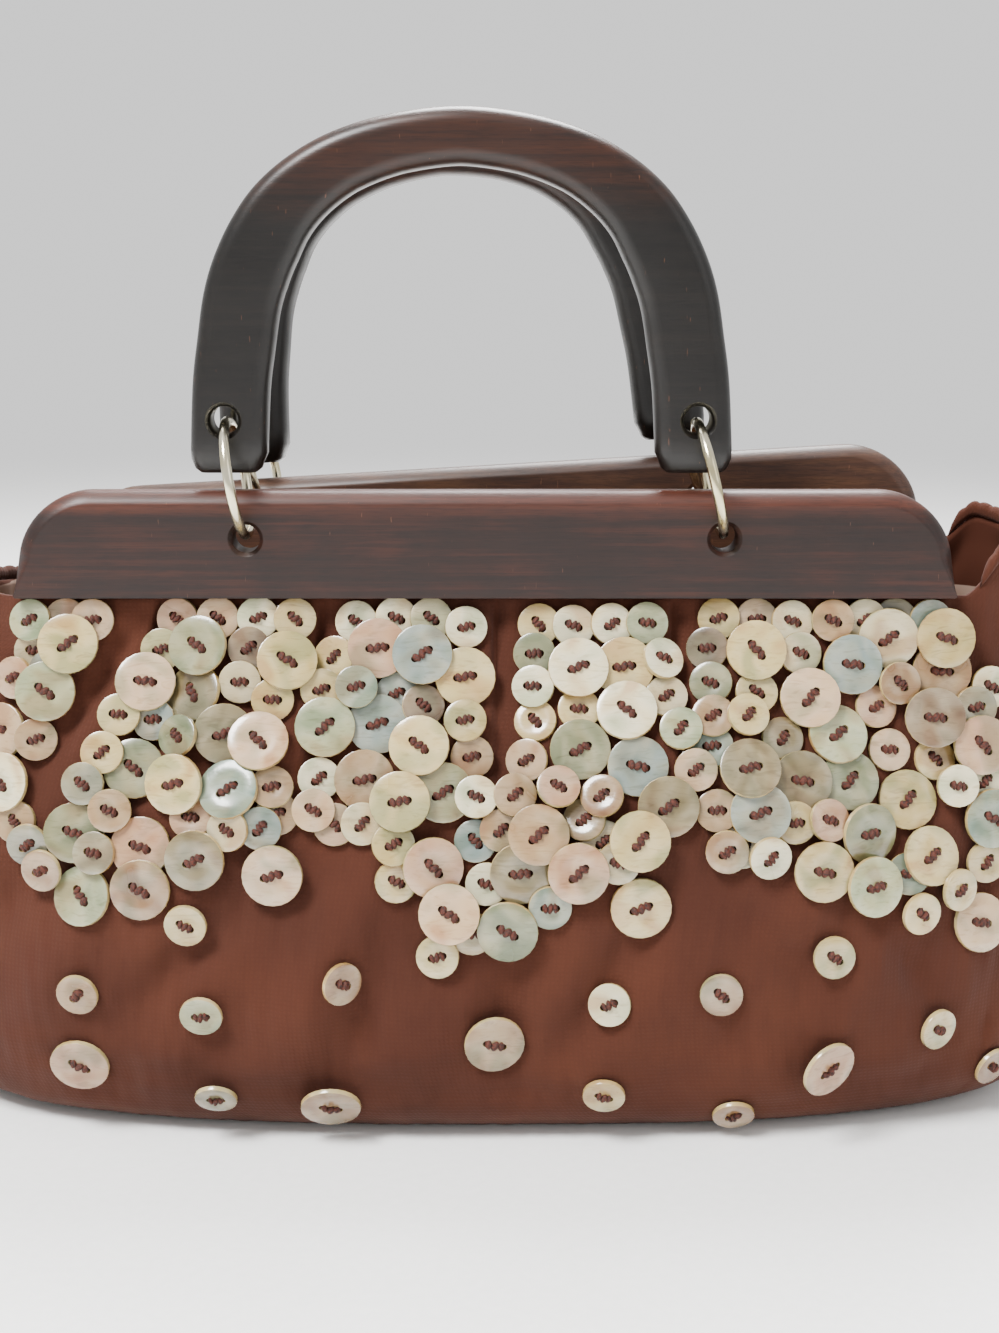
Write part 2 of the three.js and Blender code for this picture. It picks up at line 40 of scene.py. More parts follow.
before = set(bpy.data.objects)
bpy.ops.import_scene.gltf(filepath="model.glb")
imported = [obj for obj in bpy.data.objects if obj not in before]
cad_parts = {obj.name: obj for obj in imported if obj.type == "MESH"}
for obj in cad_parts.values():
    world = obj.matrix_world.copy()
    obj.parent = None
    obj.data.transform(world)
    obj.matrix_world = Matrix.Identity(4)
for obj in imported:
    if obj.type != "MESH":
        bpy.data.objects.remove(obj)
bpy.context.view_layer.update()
MM = 0.001

# Sizes shared with the solids, in millimetres
GAP = 0.3
CLOTH_HEIGHT = 167
BAR_LENGTH = 291
BAR_SLANT = 5
BAR_HEIGHT = 33
BAR_THICK = 12
BAR_CORNER = 20
HOLE_SPREAD = 146.4
HOLE_DROP = 14.5
HOLE_R = 4.3
HANDLE_HALF = 82.7
HANDLE_RISE = 107.4
HANDLE_THICK = 13
HANDLE_CORNER = 5.2
LEG_WIDTH = 23.4
HANDLE_SHIFT = -7.2
LEG_HOLE_UP = 16
LEG_HOLE_IN = 11.2
RING_R = 17.5
RING_WIRE = 1.6
RING_UP = RING_R + 0.5
FRONT_BAR_Y = -30
BACK_BAR_Y = 32
BACK_YAW = -6
BACK_TILT = 4
BACK_ROLL = -5
BACK_RING = 1
BACK_SWING = -2
BELLY_FRONT = 72
BELLY_BACK = 70
PLEATS = [-101, -51, 3, 58, 114]
MOUTH_LEFT = 24
MOUTH_RIGHT = 27
END_RISE_LEFT = 3
END_RISE_RIGHT = 11
SQUARE = 2.7  # how square the plan is: 2 is an ellipse
STRAIGHT = 0.84  # share of the half length that counts as front or back
MOUTH_HALF = BAR_LENGTH / 2 - 2.5

# The photo: where its camera stood, in millimetres and degrees, and its frame in pixels
EYE = Vector((4.4, -600, 271.6))
PITCH = 12.55
FOCAL = 1865
FRAME = (999, 1333)
WORLD_LIGHT = 1.1

# Details that only the picture has, in millimetres
FACING = 5
BAR_SLOPE = 4.4
BAR_FOOT_CORNER = 1.5
BAR_FOOT_EDGE = 1.2
BAR_FLARE = 1.4
HANDLE_FLARE = 1.8
HEM_HALF_WIDTH = 1.75
HEM_HALF_HEIGHT = 2.6
HEM_OVERLAP = 0.5
HEM_STITCH = 5  # rows of the hem from one hand stitch to the next
CLOTH_HEX = "#3E1E12"  # also the default of the setting


# ---------------------------------------------------------------- small helpers


def linear(hex_colour):
    """An sRGB hex colour as the linear RGBA that the shaders use."""
    out = []
    for i in (1, 3, 5):
        c = int(hex_colour[i:i + 2], 16) / 255
        out.append(c / 12.92 if c <= 0.04045 else ((c + 0.055) / 1.055) ** 2.4)
    return (*out, 1.0)


def feed(tree, target, inputs):
    """Feeds a shader node's inputs, each from a socket, a hex colour or a plain value."""
    for key, value in inputs.items():
        if isinstance(value, bpy.types.NodeSocket):
            tree.links.new(value, target.inputs[key])
        else:
            target.inputs[key].default_value = linear(value) if isinstance(value, str) else value


def node(tree, kind, inputs=None, **properties):
    """Adds one shader node with its properties and inputs."""
    n = tree.nodes.new(kind)
    for key, value in properties.items():
        setattr(n, key, value)
    feed(tree, n, inputs or {})
    return n


def ramp(tree, source, stops):
    """A colour ramp from a value to the hex colours or greys at its stops."""
    n = node(tree, "ShaderNodeValToRGB", {"Fac": source})
    bar = n.color_ramp
    while len(bar.elements) < len(stops):
        bar.elements.new(0.5)
    for element, (at, colour) in zip(bar.elements, stops):
        element.position = at
        element.color = linear(colour) if isinstance(colour, str) else (colour, colour, colour, 1)
    return n.outputs["Color"]


def stretched(tree, scale, turn=(0, 0, 0), uv=None):
    """Object or UV coordinates, scaled in cycles per metre along each axis."""
    if uv:
        source = node(tree, "ShaderNodeUVMap", uv_map=uv).outputs[0]
    else:
        source = node(tree, "ShaderNodeTexCoord").outputs["Object"]
    return node(tree, "ShaderNodeMapping", {"Vector": source, "Scale": scale, "Rotation": turn}).outputs[0]


def clouded(tree, scale, detail=2.0, roughness=0.5, distortion=0.0, turn=(0, 0, 0), uv=None, shift=None):
    """Noise about 0.5, its scale in cycles per metre along each axis; shift moves it to another place."""
    inputs = {"Vector": stretched(tree, scale, turn, uv), "Scale": 1.0, "Detail": detail,
              "Roughness": roughness, "Distortion": distortion}
    if shift is not None:
        inputs["W"] = shift
    dimensions = "3D" if shift is None else "4D"
    return node(tree, "ShaderNodeTexNoise", inputs, noise_dimensions=dimensions).outputs["Fac"]


def between(tree, share, first, second):
    """A value that goes from the first to the second with the share."""
    return node(tree, "ShaderNodeMix", {0: share, 2: first, 3: second}, data_type="FLOAT").outputs[0]


def mixed(tree, share, first, second, blend="MIX"):
    """The first colour mixed with the second, or multiplied by it, as far as the share says."""
    inputs = {0: share, 6: first, 7: second}
    return node(tree, "ShaderNodeMix", inputs, data_type="RGBA", blend_type=blend).outputs[2]


def ranged(tree, value, low, high):
    """A value of 0 to 1 taken to the range from low to high."""
    return node(tree, "ShaderNodeMapRange", {"Value": value, "To Min": low, "To Max": high}).outputs[0]


def rising(tree, value, start, end):
    """0 to 1, softly, as the value goes from start to end."""
    inputs = {"Value": value, "From Min": start, "From Max": end}
    return node(tree, "ShaderNodeMapRange", inputs, interpolation_type="SMOOTHSTEP").outputs[0]


def raised(tree, height, strength, distance, under=None):
    """A normal bent by a pattern of height, on top of another normal if there is one."""
    inputs = {"Height": height, "Strength": strength, "Distance": distance}
    if under is not None:
        inputs["Normal"] = under
    return node(tree, "ShaderNodeBump", inputs).outputs[0]


def new_material(name):
    m = bpy.data.materials.new(name)
    m.use_nodes = True
    tree = m.node_tree
    tree.nodes.clear()
    shader = node(tree, "ShaderNodeBsdfPrincipled")
    node(tree, "ShaderNodeOutputMaterial", {"Surface": shader.outputs[0]})
    return m, tree, shader


def deselect():
    if bpy.context.mode != "OBJECT":
        bpy.ops.object.mode_set(mode="OBJECT")
    bpy.ops.object.select_all(action="DESELECT")


def only(obj):
    deselect()
    obj.select_set(True)
    bpy.context.view_layer.objects.active = obj


def settle(obj):
    """Puts the object's place into its mesh."""
    only(obj)
    bpy.ops.object.transform_apply(location=True, rotation=True, scale=True)


def apply(obj, kind, **settings):
    """Adds one modifier with its settings and applies it."""
    only(obj)
    m = obj.modifiers.new(kind, kind)
    for key, value in settings.items():
        setattr(m, key, value)
    bpy.ops.object.modifier_apply(modifier=m.name)


def smooth(obj, angle=35):
    only(obj)
    bpy.ops.object.shade_smooth_by_angle(angle=math.radians(angle))


def new_piece(name):
    """The object that the last operator added, named and with its place in its mesh."""
    obj = bpy.context.object
    obj.name = name
    settle(obj)
    return obj


@contextlib.contextmanager
def editing(obj):
    """Edit mode on one object, with all of it selected."""
    only(obj)
    bpy.ops.object.mode_set(mode="EDIT")
    bpy.ops.mesh.select_all(action="SELECT")
    yield
    bpy.ops.object.mode_set(mode="OBJECT")


def cut_out(obj, tool):
    """Cuts the tool out of the object and removes the tool."""
    apply(obj, "BOOLEAN", operation="DIFFERENCE", object=tool, solver="EXACT")
    bpy.data.objects.remove(tool)


def slice_at(point, normal):
    """Adds edges, in edit mode, where a plane cuts the mesh."""
    bpy.ops.mesh.select_all(action="SELECT")
    bpy.ops.mesh.bisect(plane_co=point, plane_no=normal)


def bevel(offset, segments, **settings):
    """Bevels what is selected, by an offset in millimetres."""
    bpy.ops.mesh.bevel(offset=offset * MM, segments=segments, affect="EDGES", **settings)


def pick(obj, kind, test):
    """Selects, in edit mode, the vertices, edges or faces whose middle passes the test."""
    bpy.ops.mesh.select_mode(type={"vertices": "VERT", "edges": "EDGE", "polygons": "FACE"}[kind])
    bpy.ops.mesh.select_all(action="DESELECT")
    bpy.ops.object.mode_set(mode="OBJECT")
    mesh = obj.data
    for item in getattr(mesh, kind):
        if kind == "vertices":
            item.select = bool(test([item.co]))
        else:
            item.select = bool(test([mesh.vertices[i].co for i in item.vertices]))
    bpy.ops.object.mode_set(mode="EDIT")


def place_in_mm(obj, place):
    """Moves the object to a place in millimetres and puts the place into its mesh."""
    place.translation *= MM
    obj.matrix_world = place
    settle(obj)


def swept(name, count, around, place, weave=None, capped=False):
    """A surface shaped from a grid: place gives each point in millimetres, weave its place on the cloth."""
    deselect()
    bpy.ops.mesh.primitive_grid_add(x_subdivisions=count, y_subdivisions=around, size=1)
    obj = bpy.context.object
    obj.name = name
    mesh = obj.data
    steps = [(round((v.co.x + 0.5) * count), round((v.co.y + 0.5) * around)) for v in mesh.vertices]
    for v, step in zip(mesh.vertices, steps):
        v.co = Vector(place(*step)) * MM
    if weave:
        uv = mesh.uv_layers.new(name="weave")
        for corner in mesh.loops:
            uv.data[corner.index].uv = weave(*steps[corner.vertex_index])
        for extra in [layer.name for layer in mesh.uv_layers if layer.name != "weave"]:
            mesh.uv_layers.remove(mesh.uv_layers[extra])
    with editing(obj):
        bpy.ops.mesh.remove_doubles(threshold=1e-6)
        if capped:
            bpy.ops.mesh.select_all(action="DESELECT")
            bpy.ops.mesh.select_non_manifold()
            bpy.ops.mesh.edge_face_add()
            bpy.ops.mesh.select_all(action="SELECT")
        bpy.ops.mesh.normals_make_consistent(inside=False)
    return obj


def finish_piece(obj, body, material, nodes):
    """The piece gets its finish, rides its body and stands for its solids."""
    if material is not None:
        obj.data.materials.clear()
        obj.data.materials.append(material)
    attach(obj, body)
    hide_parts(*nodes)
    return obj


# ---------------------------------------------------------------- materials


def height_mask(tree, start, end, ragged=0.0):
    """0 to 1 as the height goes from start to end, in metres, with a ragged border."""
    place = node(tree, "ShaderNodeTexCoord").outputs["Object"]
    value = node(tree, "ShaderNodeSeparateXYZ", {"Vector": place}).outputs["Z"]
    if ragged:
        # bites about 25 mm wide and 6 mm high
        stir = clouded(tree, (40, 40, 160), 3.0, 0.6)
        inputs = {0: stir, 1: ragged, 2: value}
        value = node(tree, "ShaderNodeMath", inputs, operation="MULTIPLY_ADD").outputs[0]
    return rising(tree, value, start, end)


def cloth_material(props):
    """Crinkled cotton, piece-dyed red-brown: matt, with fine upright crinkles and a plain weave, and painted
    light and shade on the crinkles.
    """
    m, tree, shader = new_material("crinkled_cotton")
    # faint crinkles about 3 mm apart and 15 mm long
    crinkle = clouded(tree, (330, 66, 1), 3.0, distortion=0.5, uv="weave")
    # threads 0.7 mm apart, coarser than the real 0.4 mm so that they show
    uv = stretched(tree, (1, 1, 1), uv="weave")
    inputs = {"Vector": uv, "Scale": 226.0, "Distortion": 1.2, "Detail": 1.0}
    threads = [node(tree, "ShaderNodeTexWave", inputs, wave_type="BANDS", bands_direction=way).outputs["Fac"]
               for way in ("X", "Y")]
    weave = node(tree, "ShaderNodeMath", dict(enumerate(threads)), operation="MULTIPLY").outputs[0]
    # blotches in the dye about 60 mm wide, mixed with the crinkles into painted light and shade: raised
    # crinkles painted lighter, the hollows between them darker
    tone = between(tree, 0.88, crinkle, clouded(tree, (16, 16, 16), 3.0))
    stops = [(0.2, props.cloth_painted_shade_hex), (0.5, props.cloth_hex), (0.8, props.cloth_painted_light_hex)]
    base = ramp(tree, tone, stops)
    fleck = ramp(tree, weave, [(0.0, 0.62), (0.6, 1.0)])
    feed(tree, shader, {
        "Base Color": mixed(tree, 0.2, base, fleck, "MULTIPLY"),
        "Roughness": 0.92,
        "Sheen Weight": 0.03,
        "Sheen Roughness": 0.5,
        "Specular IOR Level": 0.2,
        "Normal": raised(tree, weave, 0.25, 0.0003, raised(tree, crinkle, 0.12, 0.0008)),
    })
    return m


def lining_material():
    """Plain lining cotton, pale pinkish beige and matt, faced with the outer cloth at its top."""
    m, tree, shader = new_material("lining_cotton")
    # patches about 25 mm wide
    pale = ramp(tree, clouded(tree, (40, 40, 40)), [(0.35, "#8C7365"), (0.65, "#A38C7D")])
    facing = height_mask(tree, (CLOTH_HEIGHT - FACING) * MM, (CLOTH_HEIGHT - FACING + 0.4) * MM)
    feed(tree, shader, {
        "Base Color": mixed(tree, facing, pale, CLOTH_HEX), "Roughness": 0.9, "Specular IOR Level": 0.2})
    return m


def wood_material(name, dark, mid, light, turn, gloss, wear_and_highlight=None):
    """Close-grained hardwood, stained and oiled: long grain with short dark pores under a satin skin."""
    m, tree, shader = new_material(name)
    # grain lines about 2 mm apart and 120 mm long
    grain = clouded(tree, (9, 300, 480), 6.0, 0.6, 0.4, turn)
    # pores 0.4 mm wide and 6 mm long
    pores = clouded(tree, (160, 1800, 2600), turn=turn)
    # clouds in the stain about 30 mm wide
    cloud = clouded(tree, (30, 30, 60), 3.0, 0.55, turn=turn)
    colour = ramp(tree, between(tree, 0.4, grain, cloud), [(0.32, dark), (0.5, mid), (0.68, light)])
    # a band over the grain: rubbed wear on the handles' crown, a painted highlight along the front bar's
    # rounded top edge
    if wear_and_highlight is not None:
        mask, wear_and_highlight_dark, wear_and_highlight_light = wear_and_highlight(tree)
        colour = mixed(tree, mask, colour, ramp(tree, grain, [(0.3, wear_and_highlight_dark), (0.7, wear_and_highlight_light)]))
    # fine rubs 0.3 mm wide and 5 mm long, pale where the stain is gone
    rubs = clouded(tree, (1500, 1500, 210), 1.0, turn=(0, 0.6, 0))
    colour = mixed(tree, ramp(tree, rubs, [(0.75, 0.0), (0.8, 0.4)]), colour, "#6E4730")
    dark_pores = ramp(tree, pores, [(0.36, 0.45), (0.5, 1.0)])
    feed(tree, shader, {
        "Base Color": mixed(tree, 0.55, colour, dark_pores, "MULTIPLY"),
        "Roughness": ranged(tree, cloud, gloss, gloss + 0.16),
        "Coat Weight": 0.12,
        "Coat Roughness": 0.25,
        "Specular IOR Level": 0.28,
        "Normal": raised(tree, pores, 0.2, 0.0002),
    })
    return m


def ring_material():
    """Nickel-plated steel wire, pale gold with age: mirror-bright with fine rub marks."""
    m, tree, shader = new_material("aged_nickel_wire")
    # rubbed patches about 11 mm long
    rub = clouded(tree, (90, 90, 90))
    feed(tree, shader, {
        "Base Color": ramp(tree, rub, [(0.3, "#C4B992"), (0.65, "#DDD6C0")]),
        "Roughness": ranged(tree, rub, 0.14, 0.22),
        "Metallic": 1.0,
    })
    return m


def shell_material():
    """Mother-of-pearl, cut and polished: milky and cloudy, faintly green and pink, under a clear skin."""
    m, tree, shader = new_material("mother_of_pearl")
    own = node(tree, "ShaderNodeAttribute", attribute_name="tone")
    # every button is cut from another place of the shell
    place = node(tree, "ShaderNodeMath", {0: own.outputs["Alpha"], 1: 60.0}, operation="MULTIPLY").outputs[0]
    # clouds about 10 mm wide, tints about 12 mm wide, curled growth lines 2 mm apart
    clouds = clouded(tree, (100, 100, 100), 1.5, distortion=0.8, shift=place)
    tints = clouded(tree, (80, 80, 80), 1.0, distortion=0.6, turn=(0.4, 0, 0), shift=place)
    lines = clouded(tree, (110, 260, 480), 2.0, distortion=1.6, turn=(0.3, 0.5, 0.7), shift=place)
    colour = mixed(tree, ramp(tree, clouds, [(0.3, 0.0), (0.78, 0.3)]), own.outputs["Color"], "#D5C8AA")
    tint = ramp(tree, tints, [(0.34, "#CBD8CC"), (0.47, "#FFFFFF"), (0.56, "#FFFAEC"), (0.68, "#E6CFB8")])
    colour = mixed(tree, 0.9, colour, tint, "MULTIPLY")
    growth = ramp(tree, lines, [(0.3, "#C4BEB0"), (0.45, "#FFFFFF"), (0.6, "#FFFFFF"), (0.72, "#DAD2C2")])
    feed(tree, shader, {
        "Base Color": mixed(tree, 0.5, colour, growth, "MULTIPLY"),
        "Roughness": ranged(tree, clouds, 0.34, 0.12),
        "Specular IOR Level": 0.6,
        "Coat Weight": 0.5,
        "Coat Roughness": 0.1,
        "Normal": raised(tree, lines, 0.12, 0.0003),
    })
    return m


def thread_material():
    """Twisted cotton button thread, dark red-brown and matt."""
    m, tree, shader = new_material("button_thread")
    # plies 0.7 mm apart
    ply = clouded(tree, (1500, 1500, 1500))
    brown = ramp(tree, ply, [(0.36, "#200902"), (0.64, "#4E1B07")])
    feed(tree, shader, {"Base Color": brown, "Roughness": 0.8})
    return m


def floor_material():
    """Matt white paper that fades into the light around it."""
    m, tree, shader = new_material("white_paper")
    # grit 3 mm apart
    grit = clouded(tree, (300, 300, 300))
    feed(tree, shader, {
        "Base Color": ramp(tree, grit, [(0.3, "#F3F2F0"), (0.7, "#F7F6F4")]),
        "Roughness": 0.95,
        "Specular IOR Level": 0.1,
    })
    place = node(tree, "ShaderNodeTexCoord").outputs["Object"]
    away = node(tree, "ShaderNodeVectorMath", {0: place}, operation="LENGTH").outputs["Value"]
    light = node(tree, "ShaderNodeEmission", {"Strength": WORLD_LIGHT})
    faded = node(tree, "ShaderNodeMixShader", {
        0: rising(tree, away, 0.5, 2.2), 1: shader.outputs[0], 2: light.outputs[0]})
    out = next(n for n in tree.nodes if n.type == "OUTPUT_MATERIAL")
    feed(tree, out, {"Surface": faded.outputs[0]})
    return m


# ---------------------------------------------------------------- the body's surface

# up as a share of the cloth's height, half length of the bar's length, depths of the belly,
# mouth = how far the section has turned to the line of the bars
SECTIONS = np.array([
    (0, 0.565, 0.7, 0.73, 0),
    (0.018, 0.605, 0.81, 0.83, 0),
    (0.06, 0.638, 0.905, 0.92, 0),
    (0.15, 0.655, 0.975, 0.98, 0),
    (0.28, 0.661, 1, 1, 0),
    (0.44, 0.656, 0.985, 0.99, 0.04),
    (0.6, 0.646, 0.93, 0.95, 0.14),
    (0.745, 0.632, 0.845, 0.89, 0.34),
    (0.87, 0.611, 0.75, 0.83, 0.64),
    (0.95, 0.591, 0.65, 0.78, 0.88),
    (1, 0.567, 0.58, 0.75, 1),
])


def section_sizes(up):
    """Half length, front depth, back depth and mouth at a height, rounded between the rows."""
    reach = min(6.0, 1.5 + up * 0.4, 1.5 + (CLOTH_HEIGHT - up) * 0.4)
    heights = SECTIONS[:, 0] * CLOTH_HEIGHT
    at = np.linspace(up - reach, up + reach, 9)
    values = [np.interp(at, heights, SECTIONS[:, k]).mean() for k in range(1, 5)]
    return values[0] * BAR_LENGTH, values[1] * BELLY_FRONT, values[2] * BELLY_BACK, values[3]


def back_line(share):
    """The cloth's edge under the back bar, which is turned and tilted."""
    turn = Matrix.Rotation(math.radians(BACK_YAW), 3, "Z") @ Matrix.Rotation(math.radians(-BACK_TILT), 3, "Y")
    p = turn @ Vector((share * MOUTH_HALF, 0, -BAR_HEIGHT / 2))
    return p + Vector((0, BACK_BAR_Y, BAR_HEIGHT / 2))


def front_line(share):
    return Vector((share * MOUTH_HALF, FRONT_BAR_Y, 0))


def oval(long, deep, share, side):
    """A point of the plain section's front (side -1) or back (side 1)."""
    x = min(abs(share), 1)
    return Vector((share * long, side * deep * (1 - x ** SQUARE) ** (1 / SQUARE), 0))


def oval_end(long, front, back, t, side):
    """A point of the plain section's left (side -1) or right end, from front to back with t."""
    start = math.acos(STRAIGHT ** (SQUARE / 2))
    a = -start + 2 * start * t
    deep = front if a < 0 else back
    y = math.copysign(deep * abs(math.sin(a)) ** (2 / SQUARE), a)
    return Vector((side * long * math.cos(a) ** (2 / SQUARE), y, 0))


def mouth_end(t, side):
    """A point of the mouth past the ends of the bars, from the front bar to the back one."""
    start, end = front_line(side), back_line(side)
    middle = (start + end) / 2
    reach = MOUTH_LEFT if side < 0 else MOUTH_RIGHT
    a = math.pi * t
    return middle + (start - middle) * math.cos(a) + Vector((side * reach * math.sin(a) ** 0.8, 0, 0))


def fade(value, start, end):
    """0 to 1, softly, as the value goes from start to end."""
    t = min(max((value - start) / (end - start), 0), 1)
    return t * t * (3 - 2 * t)


def end_rise(x):
    """How far the mouth stands up past the ends of the bars."""
    past = max(0, abs(x) - BAR_LENGTH / 2 - 4)
    return (END_RISE_LEFT if x < 0 else END_RISE_RIGHT) * fade(past, 0, 13)


def ripple(x, up, wide, tall, seed):
    """Soft random waves of a width and a height, from -1 to 1."""
    return noise.noise(Vector((x / wide, up / tall, seed)))


# each drag: where it starts and ends along the front and up, and its half width
DRAGS = [
    (-62, 86, -122, 34, 7), (72, 84, 112, 38, 7), (-96, 150, -116, 96, 6), (48, 76, 22, 20, 8),
    (-106, 160, -136, 116, 4), (-86, 158, -100, 118, 3.5), (-28, 74, -44, 22, 8), (4, 66, 10, 16, 7),
    (122, 70, 150, 30, 6), (-128, 92, -160, 60, 7),
]
DRAG_DEPTH = 3.6
PLEAT_DEPTH = 5.2
PLEAT_DRIFTS = (-22, -9, 2, 6, 14)


def fold_depth(x, up, front):
    """How far the cloth stands in from (negative) or out of its plain section, in millimetres."""
    high = up / CLOTH_HEIGHT
    near_mouth = fade(high, 0.45, 0.93) * (1 - 0.7 * fade(high, 0.955, 1))
    deep = 0.0
    for at, drift in zip(PLEATS, PLEAT_DRIFTS):
        # each pleat opens and drifts outwards as it falls
        centre = at + drift * (1 - high) * 1.3
        wide = 5 + 22 * (1 - high)
        # a knife pleat: steep on its left, easing out to the right
        past = x - centre
        deep += math.exp(-past / wide) if past > 0 else math.exp(past / (0.13 * wide))
    depth = -PLEAT_DEPTH * near_mouth * (deep - 0.2)
    # gathers under the bar, a few millimetres apart
    depth += 1.1 * ripple(x, up, 5.5, 60, 3.1) * fade(high, 0.72, 0.97)
    # soft drapes lower down, wide ones and narrow ones
    wide_drapes = fade(high, 0.03, 0.25) * (1 - fade(high, 0.7, 0.95))
    narrow_drapes = fade(high, 0.03, 0.2) * (1 - fade(high, 0.75, 0.95))
    depth += 4.6 * ripple(x + 0.35 * up, up, 46, 120, 7.7) * wide_drapes
    depth += 2.3 * ripple(x - 0.6 * up, up, 19, 80, 1.9) * narrow_drapes
    # drags that run out from the sewn-down clusters
    for x0, up0, x1, up1, wide in DRAGS if front else DRAGS[:2]:
        dx, dup = x1 - x0, up1 - up0
        t = min(max(((x - x0) * dx + (up - up0) * dup) / (dx ** 2 + dup ** 2), 0), 1)
        off = math.hypot(x - x0 - t * dx, up - up0 - t * dup)
        depth -= DRAG_DEPTH * math.exp(-((off / wide) ** 2)) * math.sin(math.pi * (0.12 + 0.83 * t))
    # slack wrinkles where the belly turns under
    depth += 1.6 * ripple(x, up, 34, 9, 5.3) * math.exp(-(((high - 0.12) / 0.09) ** 2))
    depth += 0.5 * ripple(x, up, 4.0, 14, 9.2) * (1 - fade(high, 0.93, 1))
    # upright folds where the cloth leaves the ends of the bars
    depth += 2.6 * ripple(x, up, 4.5, 90, 6.4) * fade(abs(x), 132, 146) * fade(high, 0.6, 0.85)
    return depth if front else 0.9 * depth


def loop_at(up, stops):
    """One section of the cloth as a closed loop of points in millimetres, with its folds."""
    long, front, back, mouth = section_sizes(up)
    points = []
    for kind, value in stops:
        if kind == "front":
            p = oval(long, front, value * STRAIGHT, -1).lerp(front_line(value), mouth)
        elif kind == "back":
            p = oval(long, back, value * STRAIGHT, 1).lerp(back_line(value), mouth)
        else:
            side = 1 if kind == "right" else -1
            p = oval_end(long, front, back, value, side).lerp(mouth_end(value, side), mouth)
        p.z += up + mouth * end_rise(p.x)
        points.append(p)
    co = np.array([tuple(p) for p in points])
    along = np.roll(co, -1, 0) - np.roll(co, 1, 0)
    out = np.stack([along[:, 1], -along[:, 0]], 1)
    out /= np.maximum(np.linalg.norm(out, axis=1), 1e-9)[:, None]
    walk = np.concatenate([[0], np.cumsum(np.linalg.norm(np.diff(co[:, :2], axis=0), axis=1))])
    for i, (kind, value) in enumerate(stops):
        # the back and the ends are other parts of the same pattern, so their folds differ
        x = {"front": co[i, 0], "back": 400 - co[i, 0],
             "right": co[i, 0] + 120 + co[i, 1], "left": co[i, 0] - 120 + co[i, 1]}[kind]
        co[i, :2] += out[i] * fold_depth(x, up, kind == "front")
    return co, walk


FRONT_STOPS, END_STOPS, BACK_STOPS = 260, 34, 120


def body_stops():
    """Once round the cloth, seen from above: which part of the section, and how far along it."""
    stops = [("front", -1 + 2 * i / FRONT_STOPS) for i in range(FRONT_STOPS)]
    stops += [("right", i / END_STOPS) for i in range(END_STOPS)]
    stops += [("back", 1 - 2 * i / BACK_STOPS) for i in range(BACK_STOPS)]
    return stops + [("left", 1 - i / END_STOPS) for i in range(END_STOPS)]


# ---------------------------------------------------------------- where bars, handles and rings hang


def hanging(side):
    """The frames of a bar, of the line its rings turn about, and of its handle, in millimetres."""
    if side == "front":
        y, yaw, tilt, roll, lean, swing = FRONT_BAR_Y, 0, 0, 0, 0, 0
    else:
        y, yaw, tilt, roll, lean, swing = BACK_BAR_Y, BACK_YAW, BACK_TILT, BACK_ROLL, BACK_RING, BACK_SWING
    up = BAR_HEIGHT / 2 - HOLE_DROP
    r = math.radians
    lowest = BAR_HEIGHT / 2 * math.cos(r(roll)) + BAR_THICK / 2 * abs(math.sin(r(roll)))
    base = Matrix.Translation((0, y, CLOTH_HEIGHT + GAP + lowest))
    base = base @ Matrix.Rotation(r(yaw), 4, "Z") @ Matrix.Rotation(r(-tilt), 4, "Y")
    bar = base @ Matrix.Rotation(r(roll), 4, "X")
    centre = Matrix.Rotation(r(roll), 3, "X") @ Vector((0, 0, up))
    centre += Matrix.Rotation(r(lean), 3, "X") @ Vector((0, 0, RING_UP))
    hinge = base @ Matrix.Translation(centre) @ Matrix.Rotation(r(swing), 4, "X")
    handle = hinge @ Matrix.Translation((HANDLE_SHIFT, 0, RING_UP - LEG_HOLE_UP))
    return bar, hinge, handle


def bore(obj, across, up, thick, flare):
    """Two ring holes through a piece along Y, each with a flared mouth at both faces."""
    for side in (-1, 1):
        deselect()
        middle = (side * across * MM, 0, up * MM)
        bpy.ops.mesh.primitive_cylinder_add(vertices=40, radius=HOLE_R * MM, depth=(thick + 3) * MM,
                                            location=middle, rotation=(math.pi / 2, 0, 0))
        drill = new_piece("drill")
        with editing(drill):
            # rings of edges on each side where the flare starts, then the ends are widened
            inner, outer = thick / 2 - flare, thick / 2 - flare * 0.35
            for y in (inner, -inner, outer, -outer):
                slice_at((0, y * MM, 0), (0, 1, 0))
            for limit, grow in ((outer - 0.01, 1.16), (thick / 2 + 1, 1.42)):
                for sign in (-1, 1):
                    pick(drill, "vertices", lambda c: sign * c[0].y > limit * MM)
                    bpy.ops.transform.resize(value=(grow, 1, grow), center_override=middle)
        cut_out(obj, drill)


